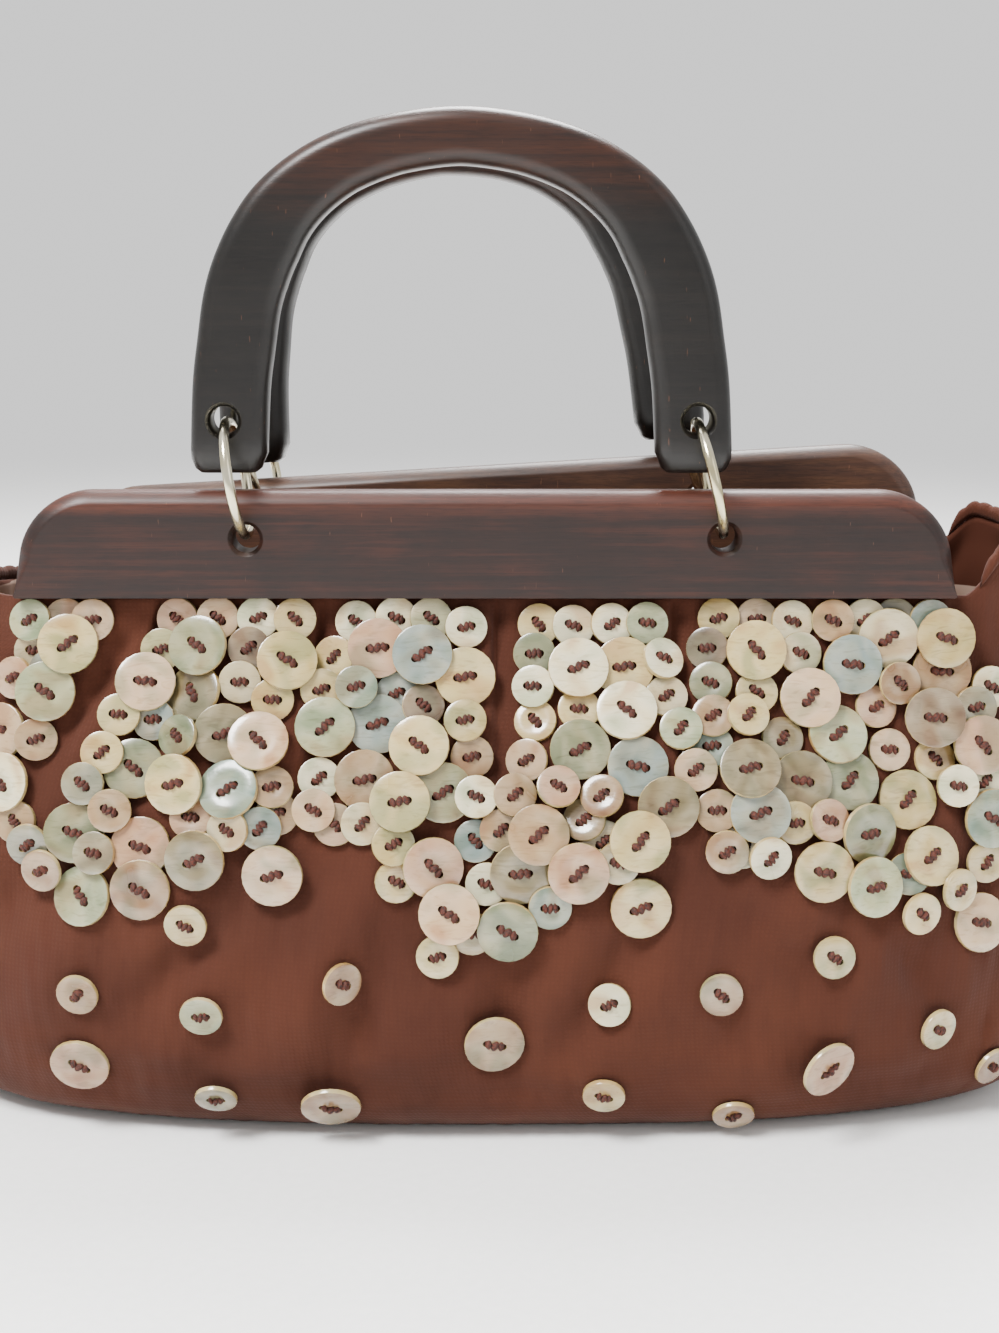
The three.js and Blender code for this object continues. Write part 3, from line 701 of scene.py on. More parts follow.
def bar_piece(side, material):
    """A long bar: a block, narrowed to the top, with large top corners and rounded edges."""
    deselect()
    bpy.ops.mesh.primitive_cube_add(size=1, scale=(BAR_LENGTH * MM, BAR_THICK * MM, BAR_HEIGHT * MM))
    bar = new_piece("wood_bar_" + side)
    end = (BAR_LENGTH / 2 - 8) * MM
    face = BAR_THICK / 2 * MM - 1e-5
    foot = (0.1 - BAR_HEIGHT / 2) * MM

    def upright(c):
        return all(abs(p.x) > end for p in c) and abs(c[0].y - c[1].y) > 1 * MM

    def rim(c):
        return all(p.y > face for p in c) or all(p.y < -face for p in c)

    with editing(bar):
        pick(bar, "vertices", lambda c: c[0].z > 0)
        bpy.ops.transform.resize(value=(1 - 2 * BAR_SLANT / BAR_LENGTH, 1, 1), center_override=(0, 0, 0))
        pick(bar, "edges", lambda c: upright(c) and c[0].z > 0)
        bevel(BAR_CORNER, 14)
        pick(bar, "edges", lambda c: upright(c) and c[0].z < foot)
        bevel(BAR_FOOT_CORNER, 3)
        # a wide, nearly flat slope round the top and the ends of both faces, a small rounding below
        pick(bar, "edges", lambda c: rim(c) and max(p.z for p in c) > foot + BAR_FOOT_CORNER * MM)
        bevel(BAR_SLOPE, 7, profile=0.38)
        pick(bar, "edges", lambda c: rim(c) and all(p.z < foot for p in c))
        bevel(BAR_FOOT_EDGE, 3)
    bore(bar, HOLE_SPREAD / 2, BAR_HEIGHT / 2 - HOLE_DROP, BAR_THICK, BAR_FLARE)
    place_in_mm(bar, hanging(side)[0])
    smooth(bar, 32)
    apply(bar, "WEIGHTED_NORMAL", keep_sharp=True)
    return finish_piece(bar, "bag", material, ["frame_bar_" + side])


# the handle's outer line from the foot to the crown: height and half width, as shares
ARCH = [
    (0.0, 1.0), (0.24, 0.982), (0.38, 0.957), (0.5, 0.93), (0.6, 0.888), (0.7, 0.822),
    (0.79, 0.735), (0.87, 0.61), (0.935, 0.45), (0.98, 0.245), (1.0, 0.0),
]
TOP_NARROWING = 0.28
ARCH_STOPS = 121


def arch_line():
    """The handle's outer line from its left foot over the top to the right, the way in, and the widths."""
    rows = np.array([(w * HANDLE_HALF, h * HANDLE_RISE) for h, w in ARCH])
    share = np.linspace(0, 1, len(rows))
    ease = np.clip((share - 0.4) / 0.6, 0, 1)
    wide = LEG_WIDTH * (1 - TOP_NARROWING * ease * ease * (3 - 2 * ease))
    half = np.concatenate([rows * [-1, 1], rows[-2::-1]])
    width = np.concatenate([wide, wide[-2::-1]])
    # a smooth curve through the outline's points
    last = len(half) - 1
    at = np.linspace(0, 1, ARCH_STOPS)
    curve = []
    for t in at:
        k = min(int(t * last), last - 1)
        u = t * last - k
        p = [half[min(max(k + d, 0), last)] for d in (-1, 0, 1, 2)]
        curve.append(0.5 * (2 * p[1] + (p[2] - p[0]) * u + (2 * p[0] - 5 * p[1] + 4 * p[2] - p[3]) * u * u
                            + (3 * p[1] - p[0] - 3 * p[2] + p[3]) * u ** 3))
    outer = np.array(curve)
    along = np.gradient(outer, axis=0)
    along /= np.linalg.norm(along, axis=1)[:, None]
    along[0] = (0, 1)
    along[-1] = (0, -1)
    inward = np.stack([along[:, 1], -along[:, 0]], 1)
    return outer, inward, np.interp(at, np.linspace(0, 1, last + 1), width)


def rounded_section(wide, thick, corner, steps):
    """The points of a rounded rectangle, once round, as offsets along its width and its thickness."""
    points = []
    for quarter in range(4):
        across = (1, -1, -1, 1)[quarter] * (wide / 2 - corner)
        deep = (1, 1, -1, -1)[quarter] * (thick / 2 - corner)
        for i in range(steps + 1):
            a = math.pi / 2 * (quarter + i / steps)
            points.append((across + corner * math.cos(a), deep + corner * math.sin(a)))
    return points


def handle_piece(side, material):
    """An arched handle: a soft-edged section swept over the arch, drawn in at both feet."""
    steps = 7
    around = 4 * (steps + 1)
    outer, inward, width = arch_line()
    # three sections stand close together at each foot for its hips
    feet = [(0.0, 3.2), (1.3, 1.6), (4.2, 0.5)]
    rows = [(outer[0] + (0, up), inward[0], width[0], draw) for up, draw in feet]
    rows += [(outer[k], inward[k], width[k], 0.0) for k in range(ARCH_STOPS) if outer[k][1] > 6.5]
    rows += [(outer[-1] + (0, up), inward[-1], width[-1], draw) for up, draw in reversed(feet)]

    def place(i, k):
        edge, side_way, wide, draw = rows[i]
        section = rounded_section(wide - 2 * draw, HANDLE_THICK - 2 * draw, HANDLE_CORNER - 0.8 * draw, steps)
        across, deep = section[k % around]
        at = edge + side_way * (wide / 2 + across)
        return at[0], deep, at[1]

    handle = swept("wood_handle_" + side, len(rows) - 1, around, place, capped=True)
    bore(handle, HANDLE_HALF - LEG_HOLE_IN, LEG_HOLE_UP, HANDLE_THICK, HANDLE_FLARE)
    place_in_mm(handle, hanging(side)[2])
    smooth(handle, 40)
    return finish_piece(handle, side + "_handle", material, ["handle_" + side])


def ring_piece(side, name, sign, material):
    """A closed ring of round wire."""
    hinge = hanging(side)[1]
    low = sign * HOLE_SPREAD / 2
    high = sign * (HANDLE_HALF - LEG_HOLE_IN) + HANDLE_SHIFT
    deselect()
    bpy.ops.mesh.primitive_torus_add(major_radius=RING_R * MM, minor_radius=RING_WIRE * MM, major_segments=72,
                                     minor_segments=16, rotation=(0, math.pi / 2, 0))
    ring = new_piece("wire_ring_" + side + "_" + name)
    place = hinge @ Matrix.Translation(((low + high) / 2, 0, 0))
    place_in_mm(ring, place @ Matrix.Rotation(math.atan2(high - low, 2 * RING_UP), 4, "Y"))
    smooth(ring, 50)
    return finish_piece(ring, side + "_handle", material, ["ring_" + side + "_" + name])


# ---------------------------------------------------------------- buttons

NACRE_WARMTH = (1, 0.99, 0.88)  # the light in the photo is warmer than that in the scene
TONES = {
    "white": "#D6CDB4", "pearl": "#B3A68A", "mint": "#8B9376", "cream": "#B5A170", "yellow": "#A69159",
    "pink": "#A88068", "rose": "#B5967C", "beige": "#8F6E4C", "tan": "#7B5836", "brown": "#604936",
    "grey": "#6D6C5F", "sage": "#64694A", "olive": "#615535", "teal": "#5D726A", "blue": "#718083",
}

# Each button: size, the pixel of its middle in the photo, tone, how high in the pile (0 lowest)
# and, if it has one, the number of the solid it stands for
CHART = {
    "far_left": """
        S 37 651 pearl 0, S 52 671 blue 0, S 67 614 pink 1, S 94 612 rose 1, S 18 678 pink 1,
        S 33 620 mint 2, L 73 645 cream 3 1, L 49 692 mint 2 2, L -1 732 rose 1 3, S 38 740 beige 1,
        L 6 782 white 2, S 17 822 beige 1, S 31 843 grey 1, S 49 867 tan 2
    """,
    "left": """
        S 179 616 pink 1, S 219 618 rose 1, S 259 618 white 1, S 295 620 cream 1, S 163 651 cream 1,
        L 204 649 sage 2 6, S 250 649 brown 1, L 286 663 yellow 3 4, L 147 682 rose 3 5,
        S 241 683 pearl 1, L 196 695 olive 1, S 274 702 yellow 2, S 119 715 cream 2, S 156 723 blue 1,
        L 225 735 olive 2, S 184 740 sage 3, L 261 745 rose 3 7, S 103 753 cream 2, L 138 773 sage 1,
        S 86 784 grey 2, L 178 785 cream 3 8, S 272 788 beige 1, L 232 792 teal 2 9, S 114 812 beige 2,
        S 277 814 beige 0, S 192 818 pink 1, S 261 828 blue 1, S 230 830 pearl 1, L 76 832 sage 1,
        L 141 847 pink 1 10, S 99 853 grey 2, L 197 860 olive 1, L 142 889 tan 2, L 83 896 mint 1 12,
        L 275 873 rose 2 11, S 187 923 cream 1
    """,
    "middle": """
        S 357 622 white 1, S 396 618 white 1, S 431 619 pearl 1, S 466 628 white 1, L 379 650 pink 2,
        S 336 658 cream 1, L 423 657 blue 3 13, L 465 678 cream 2, S 358 689 teal 3, S 321 693 cream 1,
        S 397 694 blue 1, S 424 707 brown 2, S 466 722 yellow 2, L 378 725 blue 1, L 324 730 mint 2 18,
        L 421 749 cream 3 14, S 472 757 tan 1, S 319 780 white 1, L 365 781 beige 1, L 443 793 sage 1,
        S 476 798 white 2, L 401 805 cream 3 15, S 313 812 rose 2, S 335 825 pink 1, S 363 825 pearl 2,
        S 476 841 blue 1, S 393 845 yellow 2, L 432 867 pink 2, S 396 881 cream 1, S 487 884 white 1,
        L 450 913 rose 3 16, L 508 929 sage 2 17, S 472 933 pearl 0, S 438 956 cream 2
    """,
    "right": """
        S 539 625 cream 1, S 573 627 white 1, S 611 625 white 1, S 646 624 mint 1, S 535 655 sage 1,
        L 578 671 white 3 19, L 624 668 cream 2, S 660 661 white 3, S 534 688 white 2, S 666 697 pearl 1,
        S 579 710 cream 2, L 627 714 white 3 20, S 536 722 cream 1, S 679 733 mint 2, L 580 750 sage 2 21,
        S 528 761 rose 1, L 638 767 blue 2, S 695 771 rose 1, S 558 788 pink 3, S 517 797 beige 2,
        S 603 798 tan 2, L 668 807 olive 2, S 585 821 tan 1, S 502 831 beige 1, L 540 835 beige 2,
        L 639 841 cream 3 22, S 604 842 pearl 0, S 618 862 pearl 0, L 579 872 pink 2,
        L 521 873 olive 1 24, S 550 907 teal 1, L 640 906 cream 2 23
    """,
    "far_right": """
        S 895 602 grey 0, S 929 610 blue 1, S 862 611 pearl 1, S 756 614 rose 1, S 719 618 yellow 1,
        S 830 621 beige 2, S 791 622 white 1, L 888 638 pearl 1, L 943 638 yellow 2, S 708 650 brown 1,
        L 754 653 cream 3 25, S 799 654 pearl 1, L 849 666 blue 2, L 941 671 beige 1, S 897 684 tan 2,
        S 711 685 sage 1, S 989 687 white 1, S 756 693 cream 1, L 807 700 rose 3 26, S 974 708 grey 1,
        S 872 708 pink 1, L 928 718 brown 3 27, S 746 718 cream 2, S 713 719 beige 1, L 836 735 mint 2,
        S 781 739 olive 1, L 979 745 pink 2, S 712 747 teal 0, S 888 750 rose 2, S 933 759 cream 1,
        L 747 770 olive 3 28, L 848 781 sage 1, S 983 781 white 1, L 800 782 olive 1, S 951 788 white 2,
        L 905 800 yellow 1, S 717 811 beige 1, L 758 815 blue 2, L 988 817 teal 2, S 825 822 pink 2,
        S 793 823 cream 1, L 866 833 sage 3 29, S 727 851 beige 1, S 742 847 white 0, L 929 856 cream 2,
        S 768 857 white 2, S 981 861 cream 1, L 821 872 cream 2, S 908 874 teal 1, L 868 886 mint 3 30,
        S 952 888 cream 2, S 920 913 cream 2, L 979 922 rose 1, S 832 956 cream 1
    """,
    "scattered": """
        S 79 992 beige 1 31, L 81 1062 pink 1 32, S 202 1013 mint 1 33, S 338 982 beige 1 34,
        S 217 1092 olive 1, L 331 1100 tan 1 35, L 493 1039 beige 1 36, S 611 1004 white 1 37,
        S 721 994 tan 1 38, S 604 1092 cream 1 39, S 733 1112 tan 1, L 821 1062 pink 1 40,
        S 935 1027 cream 1, S 990 1064 tan 1
    """,
}
# buttons that hang off the turn of the belly, by their pixel: degrees nodded down and turned aside
LEANS = {
    (202, 1013): (12, 0), (935, 1027): (14, 0), (493, 1039): (13, 0), (331, 1100): (30, 4),
    (217, 1092): (18, 8), (79, 992): (10, 0), (733, 1112): (16, -8), (821, 1062): (0, 24),
    (338, 982): (0, 22), (604, 1092): (4, -6), (81, 1062): (2, 8), (187, 923): (0, -14),
    (832, 956): (0, 10), (275, 873): (2, -6),
}
HOLE_REACH = 0.145  # from the middle of a button to its holes, as a share of its width
PIN_R = 1.15
TURN_MOST = 0.9  # how far a button's holes may turn from level, in radians
LAYER_PAINTED_SHADE = (0.74, 0.84, 0.94, 1.02)  # painted shade: buttons deeper in a pile are painted darker, for the shade of the buttons over them
CUT_EDGE_HEX = "#A08A58"


def button_shape(name, across, thick):
    """One two-hole button: a flat disc with a soft edge and a shallow dish about its holes, face up."""
    deselect()
    bpy.ops.mesh.primitive_cylinder_add(vertices=24, radius=across / 2 * MM, depth=thick * MM)
    button = new_piece(name)
    top = thick / 2 * MM - 1e-6
    with editing(button):
        pick(button, "polygons", lambda c: all(p.z > top for p in c))
        bevel(0.35, 2)
        pick(button, "polygons", lambda c: all(p.z > top for p in c))
        bpy.ops.mesh.inset(thickness=0.2 * across * MM)
        bpy.ops.mesh.inset(thickness=0.05 * across * MM, depth=-0.15 * MM)
    for sign in (-1, 1):
        deselect()
        bpy.ops.mesh.primitive_cylinder_add(vertices=10, radius=PIN_R * MM, depth=4 * MM,
                                            location=(sign * HOLE_REACH * across * MM, 0, 0))
        cut_out(button, bpy.context.object)
    smooth(button, 40)
    return button


def thread_shape(name, across):
    """The stitches between the two holes: three fat turns of cord side by side, sinking into the holes."""
    reach = (HOLE_REACH * across + 0.5) * MM
    deselect()
    bpy.ops.mesh.primitive_cylinder_add(vertices=7, radius=MM, depth=2 * reach, rotation=(0, math.pi / 2, 0))
    thread = new_piece(name)
    with editing(thread):
        for i in range(1, 12):
            slice_at(((i / 6 - 1) * reach, 0, 0), (1, 0, 0))
    for v in thread.data.vertices:
        share = v.co.x / reach
        fat = 0.75 + 0.85 * abs(math.cos(share * math.pi * 1.5)) ** 0.6
        shift = 0.32 * MM * math.sin(share * math.pi * 1.5)
        v.co.y = v.co.y * fat + shift
        v.co.z = v.co.z * fat * 0.85 + (0.5 - 1.3 * share * share) * MM
    smooth(thread, 70)
    return thread


def pixel_ray(x, y):
    """From the photo's eye through a pixel of its frame, in metres."""
    r = math.radians(PITCH)
    d = Vector((x - FRAME[0] / 2, FOCAL, FRAME[1] / 2 - y))
    d = Matrix.Rotation(-r, 3, "X") @ d
    return EYE * MM, d.normalized()


def disc_frame(out, turn):
    """Two directions across a disc that faces out, the first turned from level."""
    level = Vector((0, 0, 1)).cross(out).normalized()
    steep = out.cross(level)
    a = level * math.cos(turn) + steep * math.sin(turn)
    return a, out.cross(a)


FLATNESS = 0.0022 / 0.27  # metres a button would rather rise than lean, per squared slope


def settle_button(wall, placed, start, out, radius, thick, turn, most):
    """Lowers a disc onto the cloth and onto the buttons under it; it may lean up to the most degrees."""
    a, b = disc_frame(out, turn)
    samples = [(0.0, 0.0)]
    for share, count in ((1.0, 20), (0.62, 10), (0.3, 5)):
        for i in range(count):
            angle = 2 * math.pi * (i + share) / count
            samples.append((share * radius * math.cos(angle), share * radius * math.sin(angle)))
    samples = np.array(samples)
    heights = np.full(len(samples), -1.0)
    for i, (x, y) in enumerate(samples):
        p = start + a * x + b * y
        hit = wall.ray_cast(p + out * 0.03, -out, 0.06)
        if hit[0] is not None:
            heights[i] = (hit[0] - start).dot(out)
    heights = np.where(heights < -0.02, heights.max() - 0.002, heights)
    for disc in placed:
        if (disc["centre"] - start).length > disc["radius"] + radius + 0.003:
            continue
        lean = out.dot(disc["out"])
        if lean < 0.3:
            continue
        for i, (x, y) in enumerate(samples):
            p = start + a * x + b * y
            rise = (disc["thick"] - (p - disc["centre"]).dot(disc["out"])) / lean
            q = p + out * rise - disc["centre"] - disc["out"] * disc["thick"]
            if q.length < disc["radius"] * 0.985:
                heights[i] = max(heights[i], rise)
    best = None
    limit = math.tan(math.radians(most))
    for i in range(-5, 6):
        for j in range(-5, 6):
            ga, gb = i / 5 * limit, j / 5 * limit
            need = float((heights - ga * samples[:, 0] - gb * samples[:, 1]).max())
            # it lies as low as it can, but would rather lie flat
            cost = need + FLATNESS * (ga * ga + gb * gb)
            if best is None or cost < best[0]:
                best = (cost, need, ga, gb)
    _, need, ga, gb = best
    tilted = (out - a * ga - b * gb).normalized()
    centre = start + out * (need + 0.00005)
    return {"centre": centre, "out": tilted, "radius": radius, "thick": thick, "turn": turn}


def copy_disc(shape, thread, disc, tone, edge):
    """A copy of the button and its thread, at its place, with its own tone on every face."""
    a, b = disc_frame(disc["out"], disc["turn"])
    middle = disc["centre"] + disc["out"] * disc["thick"] / 2
    turn = Matrix((a, b, disc["out"])).transposed().to_4x4()
    place = Matrix.Translation(middle) @ turn
    made = []
    for source, lift in ((shape, 0.0), (thread, disc["thick"] / 2 - 0.00025)):
        copy = source.copy()
        copy.data = source.data.copy()
        bpy.context.collection.objects.link(copy)
        colour = copy.data.color_attributes.new("tone", "FLOAT_COLOR", "CORNER")
        for face in copy.data.polygons:
            # the cut edge shows the creamy skin of the shell
            own = tone if abs(face.normal.z) > 0.5 else edge
            for corner in face.loop_indices:
                colour.data[corner].color = own
        copy.data.transform(place @ Matrix.Translation((0, 0, lift)))
        made.append(copy)
    return made


def joined(parts, name):
    deselect()
    for p in parts:
        p.select_set(True)
    bpy.context.view_layer.objects.active = parts[0]
    if len(parts) > 1:
        bpy.ops.object.join()
    obj = bpy.context.object
    obj.name = name
    return obj


# ---------------------------------------------------------------- what a user would change


class HandleBagSettings(bpy.types.PropertyGroup):
    """Sizes and colours of the bag that a user may change before it is made."""

    cloth_thick: bpy.props.FloatProperty(
        name="Cloth Thickness", description="Thickness of the cloth wall", default=0.0018, unit="LENGTH")
    cloth_hex: bpy.props.StringProperty(
        name="Cloth", description="Main colour of the cloth, sRGB hex", default=CLOTH_HEX)
    # painted light and shade: the lit colour is painted on the raised crinkles, the shaded one between them
    cloth_painted_light_hex: bpy.props.StringProperty(
        name="Cloth, Lit", description="Colour of the cloth's raised crinkles, sRGB hex", default="#4A2617")
    cloth_painted_shade_hex: bpy.props.StringProperty(
        name="Cloth, Shaded", description="Colour between the crinkles, sRGB hex", default="#2F150B")
    small_button: bpy.props.FloatProperty(
        name="Small Button", description="Width of the small buttons", default=0.0132, unit="LENGTH")
    large_button: bpy.props.FloatProperty(
        name="Large Button", description="Width of the large buttons", default=0.0186, unit="LENGTH")
    button_thick: bpy.props.FloatProperty(
        name="Button Thickness", description="Thickness of all the buttons", default=0.0015, unit="LENGTH")
    most_lean: bpy.props.FloatProperty(
        name="Most Lean", description="How far a button may lean on its neighbours",
        default=math.radians(15), subtype="ANGLE")


def settings():
    return bpy.context.scene.handle_bag


# ---------------------------------------------------------------- operators


class HANDLEBAG_OT_stage(bpy.types.Operator):
    """Adds the white sweep, the soft lights and the camera at the photo's place"""

    bl_idname = "handlebag.stage"
    bl_label = "Stage, Lights and Camera"

    def execute(self, context):
        deselect()
        bpy.ops.mesh.primitive_grid_add(x_subdivisions=4, y_subdivisions=4, size=14)
        floor = context.object
        floor.name = "floor"
        floor.data.materials.append(floor_material())
        world = context.scene.world or bpy.data.worlds.new("world")
        context.scene.world = world
        world.use_nodes = True
        sky = world.node_tree
        feed(sky, sky.nodes["Background"], {"Color": (1, 1, 1, 1), "Strength": WORLD_LIGHT})
        # key, fill and back light: place and aim in metres, size, power in watts
        lamps = (
            ((-0.75, -0.75, 1.6), (0, 0, 0.12), 0.6, 80),
            ((1.3, -0.9, 0.9), (0, 0, 0.12), 1.0, 4),
            ((0.1, 0.75, 1.4), (0, 0, 0.1), 0.7, 75),
        )
        for i, (place, aim, size, power) in enumerate(lamps):
            bpy.ops.object.light_add(type="AREA", location=place)
            lamp = context.object
            lamp.name = "softbox_%d" % (i + 1)
            lamp.data.size = size
            lamp.data.energy = power
            lamp.rotation_euler = (Vector(aim) - Vector(place)).to_track_quat("-Z", "Y").to_euler()
        bpy.ops.object.camera_add(location=EYE * MM, rotation=(math.radians(90 - PITCH), 0, 0))
        camera = context.object
        camera.name = "camera"
        camera.data.sensor_fit = "VERTICAL"
        camera.data.sensor_height = 36
        camera.data.lens = FOCAL * 36 / FRAME[1]
        camera.data.clip_start = 0.02
        context.scene.camera = camera
        return {"FINISHED"}


class HANDLEBAG_OT_body(bpy.types.Operator):
    """Makes the gathered cloth body as a lofted shell with its pleats and slack"""

    bl_idname = "handlebag.body"
    bl_label = "Cloth Body"

    def execute(self, context):
        stops = body_stops()
        across = len(stops)
        lowest, walk = loop_at(0, stops)
        # the flat base as ever larger copies of the lowest loop, then the wall, closer rows at its foot
        loops = [(lowest * [share, share, 0], walk, share - 1) for share in (0.0, 0.3, 0.6, 0.85, 0.97)]
        loops.append((lowest * [1, 1, 0], walk, 0))
        for up in (0.6, 1.8, 3.5, 6, *np.linspace(9, CLOTH_HEIGHT, 84)):
            loops.append((*loop_at(up, stops), up))

        def place(i, k):
            return loops[k][0][i % across]

        def weave(i, k):
            _, walk, up = loops[k]
            return (walk[i] if i < across else walk[-1] + 2) * MM, up * (MM if up >= 0 else 0.06)

        body = swept("cloth_body", across, len(loops) - 1, place, weave)
        body.data.materials.clear()
        body.data.materials.append(cloth_material(settings()))
        body.data.materials.append(lining_material())
        apply(body, "SOLIDIFY", thickness=settings().cloth_thick, offset=-1, use_even_offset=False,
              material_offset=1)
        smooth(body, 180)
        finish_piece(body, "bag", None, ["bag_body"])
        return {"FINISHED"}


class HANDLEBAG_OT_hems(bpy.types.Operator):
    """Makes the bound edge of the mouth past the ends of the bars"""

    bl_idname = "handlebag.hems"
    bl_label = "Mouth Hems"

    def execute(self, context):
        count, around = 60, 12
        for name, side in (("left", -1), ("right", 1)):
            path = [mouth_end(0.1 + 0.8 * i / count, side) for i in range(count + 1)]

            def place(i, k):
                p = path[i]
                along = (path[min(i + 1, count)] - path[max(i - 1, 0)]).normalized()
                flat = Vector((along.y, -along.x, 0)).normalized()
                a = 2 * math.pi * k / around
                # a soft roll, drawn in a little at each hand stitch and closed at both ends
                pinch = 1 - 0.12 * (0.5 + 0.5 * math.cos(i * 2 * math.pi / HEM_STITCH)) ** 3
                close = min(1, i / 3, (count - i) / 3) ** 0.5
                wide, high = HEM_HALF_WIDTH * pinch * close, HEM_HALF_HEIGHT * pinch * close
                middle = Vector((p.x, p.y, p.z + CLOTH_HEIGHT + end_rise(p.x) + high - HEM_OVERLAP))
                return middle + flat * math.cos(a) * wide + Vector((0, 0, math.sin(a) * high))

            hem = swept("cloth_hem_" + name, count, around, place, lambda i, k: (i * 0.0011, k * 0.0009))
            smooth(hem, 180)
            finish_piece(hem, "bag", bpy.data.materials["crinkled_cotton"], ["mouth_hem_" + name])
        return {"FINISHED"}


class HANDLEBAG_OT_bars(bpy.types.Operator):
    """Makes the two long wooden bars of the frame"""

    bl_idname = "handlebag.bars"
    bl_label = "Wooden Bars"

    def execute(self, context):
        top = (CLOTH_HEIGHT + GAP + BAR_HEIGHT) * MM

        # painted highlight: a lighter band along the front bar's rounded top edge, where the light catches it
        def painted_highlight_top(tree):
            return height_mask(tree, top - 0.0075, top - 0.0035, 0.0015), "#2E140B", "#452013"

        # the grain runs down a little to one end
        bar_piece("front", wood_material(
            "rosewood_oiled", "#0D0301", "#1A0702", "#321306", (0, -0.03, 0), 0.4, painted_highlight_top))
        # the back bar's browns are lighter than the front bar's
        bar_piece("back", wood_material("walnut_oiled", "#24120A", "#382013", "#4C301C", (0, -0.05, 0), 0.4))
        return {"FINISHED"}


class HANDLEBAG_OT_handles(bpy.types.Operator):
    """Makes the two arched handles"""

    bl_idname = "handlebag.handles"
    bl_label = "Handles"

    def execute(self, context):
        crown = hanging("front")[2].translation.z * MM + HANDLE_RISE * MM

        def rubbed_crown(tree):
            return height_mask(tree, crown - 0.03, crown - 0.004, 0.012), "#150905", "#321709"

        # the grain runs up the legs
        wood = wood_material(
            "ebonised_hardwood", "#060403", "#0B0806", "#130E0A", (0, 1.4, 0), 0.3, rubbed_crown)
        for side in ("front", "back"):
            handle_piece(side, wood)
        return {"FINISHED"}


class HANDLEBAG_OT_rings(bpy.types.Operator):
    """Makes the four wire rings between the handles and the bars"""

    bl_idname = "handlebag.rings"
    bl_label = "Wire Rings"

    def execute(self, context):
        metal = ring_material()
        for side in ("front", "back"):
            for name, sign in (("left", -1), ("right", 1)):
                ring_piece(side, name, sign, metal)
        return {"FINISHED"}



def chart_rows(rng):
    """The chart's buttons from the lowest of the piles to the highest, each with its own turn and shade."""
    rows = []
    for group, text in CHART.items():
        for order, entry in enumerate(text.split(",")):
            size, x, y, tone, layer, *number = entry.split()
            solid = int(number[0]) if number else 0
            turn, shade = rng.uniform(-TURN_MOST, TURN_MOST), rng.uniform(-1, 1)
            rows.append((int(layer), group, order, size, int(x), int(y), tone, solid, turn, shade))
    return sorted(rows, key=lambda row: row[:3])


def lie_of_cloth(wall, middle, ray, radius):
    """The way the cloth faces under a whole button, not at one fold of it."""
    spots = []
    for way in ((1, 0, 0), (-1, 0, 0), (0, 0, 1), (0, 0, -1)):
        p = middle + Vector(way) * radius
        near = wall.ray_cast(p - ray * 0.05, ray, 0.12)
        close = near[0] is not None and (near[0] - p).length < 1.5 * radius
        spots.append(near[0] if close else p)
    out = (spots[0] - spots[1]).cross(spots[2] - spots[3]).normalized()
    return -out if out.y > 0 else out


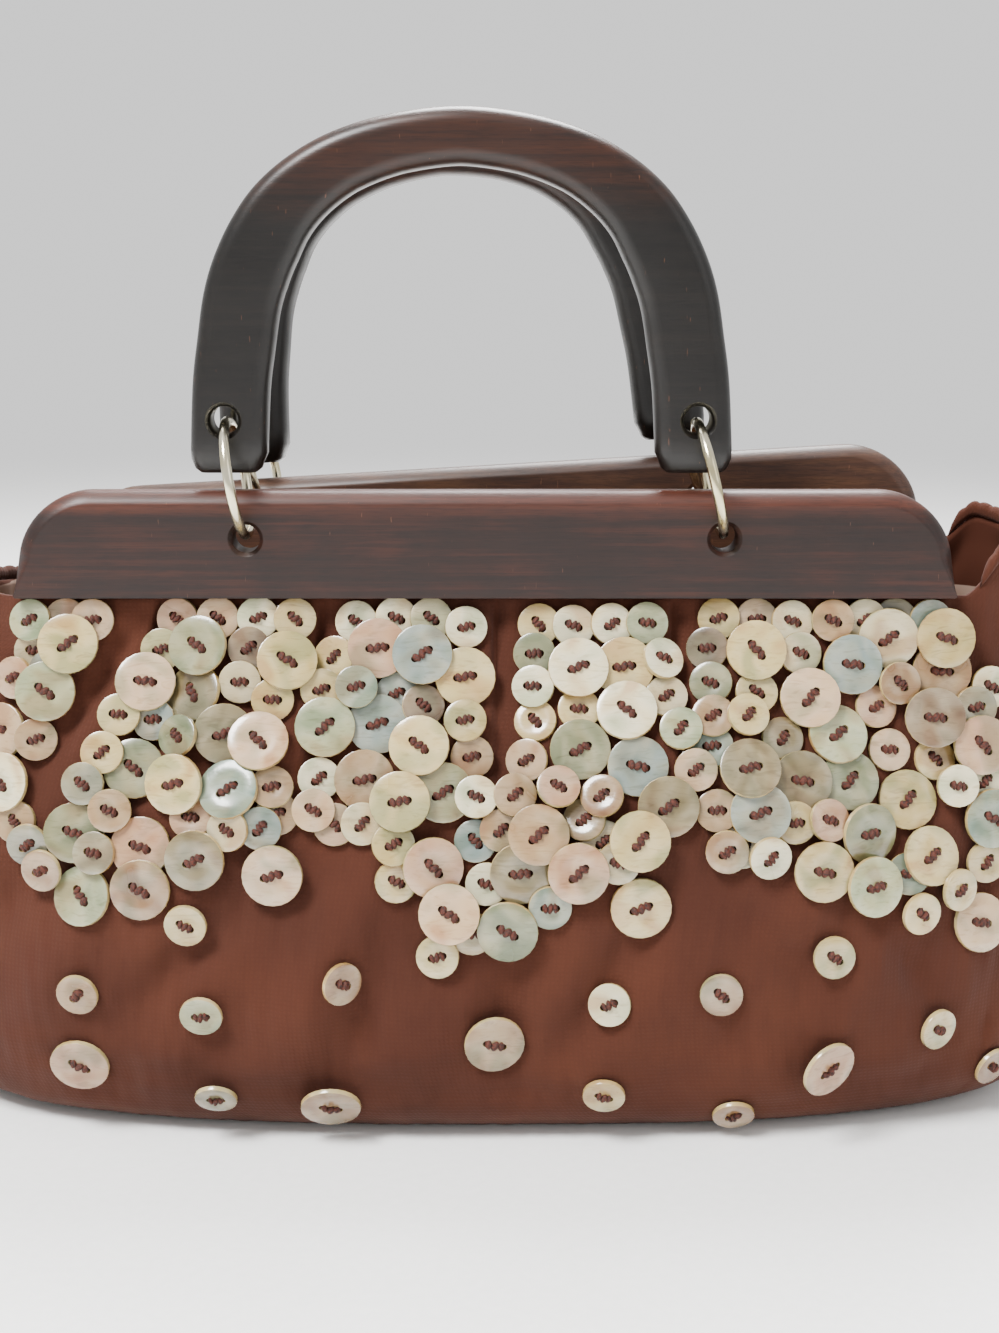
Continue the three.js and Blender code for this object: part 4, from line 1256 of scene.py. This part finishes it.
class HANDLEBAG_OT_buttons(bpy.types.Operator):
    """Sews on the shell buttons, each let down onto the cloth and the buttons under it"""

    bl_idname = "handlebag.buttons"
    bl_label = "Shell Buttons"

    def execute(self, context):
        props = settings()
        mesh = bpy.data.objects["cloth_body"].data
        wall = BVHTree.FromPolygons([v.co.copy() for v in mesh.vertices],
                                    [list(p.vertices) for p in mesh.polygons])
        shell, cotton = shell_material(), thread_material()
        shapes = {}
        for size, wide in (("L", props.large_button), ("S", props.small_button)):
            shape = button_shape("button_shape_" + size, wide / MM, props.button_thick / MM)
            thread = thread_shape("thread_shape_" + size, wide / MM)
            shape.data.materials.append(shell)
            thread.data.materials.append(cotton)
            shapes[size] = (shape, thread, wide / 2)
        rng = random.Random(41)
        placed, groups = [], {}
        for layer, group, _, size, x, y, tone, number, turn, shade in chart_rows(rng):
            shape, thread, radius = shapes[size]
            eye, ray = pixel_ray(x, y)
            start = wall.ray_cast(eye, ray)[0]
            if start is None:
                raise RuntimeError("no cloth under the button at %d, %d" % (x, y))
            nod, aside = (math.radians(angle) for angle in LEANS.get((x, y), (0, 0)))
            out = lie_of_cloth(wall, start, ray, radius)
            out = Matrix.Rotation(nod, 3, "X") @ Matrix.Rotation(aside, 3, "Z") @ out
            # the top row stays clear of the bar above it
            roof = (CLOTH_HEIGHT + GAP - 0.6) * MM - radius * math.hypot(out.x, out.y)
            if start.z > roof:
                lower = wall.ray_cast(Vector((start.x, start.y - 0.05, roof)), Vector((0, 1, 0)), 0.12)[0]
                start = start if lower is None else lower
            most = 1.0 if nod or aside else math.degrees(props.most_lean)
            disc = settle_button(wall, placed, start, out, radius, props.button_thick, turn, most)
            placed.append(disc)
            # a random brightness for each button, times the painted shade of its layer in the pile
            light = (0.87 + 0.09 * shade) * LAYER_PAINTED_SHADE[layer]
            own = rng.random()
            face = (*(c * light * warm for c, warm in zip(linear(TONES[tone]), NACRE_WARMTH)), own)
            made = copy_disc(shape, thread, disc, face, (*linear(CUT_EDGE_HEX)[:3], own))
            if number:
                piece = joined(made, "shell_button_%02d" % number)
                finish_piece(piece, "bag", None, ["button_%02d" % number])
            else:
                groups.setdefault(group, []).extend(made)
        for group, parts in groups.items():
            nodes = [] if group == "scattered" else ["button_cluster_" + group]
            finish_piece(joined(parts, "shell_buttons_" + group), "bag", None, nodes)
        for shape, thread, _ in shapes.values():
            bpy.data.objects.remove(shape)
            bpy.data.objects.remove(thread)
        return {"FINISHED"}


class HANDLEBAG_PT_panel(bpy.types.Panel):
    """The bag's settings and the steps that make it"""

    bl_label = "Handle Bag"
    bl_idname = "HANDLEBAG_PT_panel"
    bl_space_type = "VIEW_3D"
    bl_region_type = "UI"
    bl_category = "Handle Bag"

    def draw(self, context):
        for key in HandleBagSettings.__annotations__:
            self.layout.prop(context.scene.handle_bag, key)
        for operator in OPERATORS:
            self.layout.operator(operator.bl_idname)


OPERATORS = (
    HANDLEBAG_OT_stage,
    HANDLEBAG_OT_body,
    HANDLEBAG_OT_hems,
    HANDLEBAG_OT_bars,
    HANDLEBAG_OT_handles,
    HANDLEBAG_OT_rings,
    HANDLEBAG_OT_buttons,
)


def register():
    for cls in (HandleBagSettings, *OPERATORS, HANDLEBAG_PT_panel):
        bpy.utils.register_class(cls)
    bpy.types.Scene.handle_bag = bpy.props.PointerProperty(type=HandleBagSettings)


def unregister():
    del bpy.types.Scene.handle_bag
    for cls in (HANDLEBAG_PT_panel, *reversed(OPERATORS), HandleBagSettings):
        bpy.utils.unregister_class(cls)


def main():
    register()
    bpy.ops.handlebag.stage()
    bpy.ops.handlebag.body()
    bpy.ops.handlebag.hems()
    bpy.ops.handlebag.bars()
    bpy.ops.handlebag.handles()
    bpy.ops.handlebag.rings()
    bpy.ops.handlebag.buttons()
    deselect()


if __name__ == "__main__":
    main()
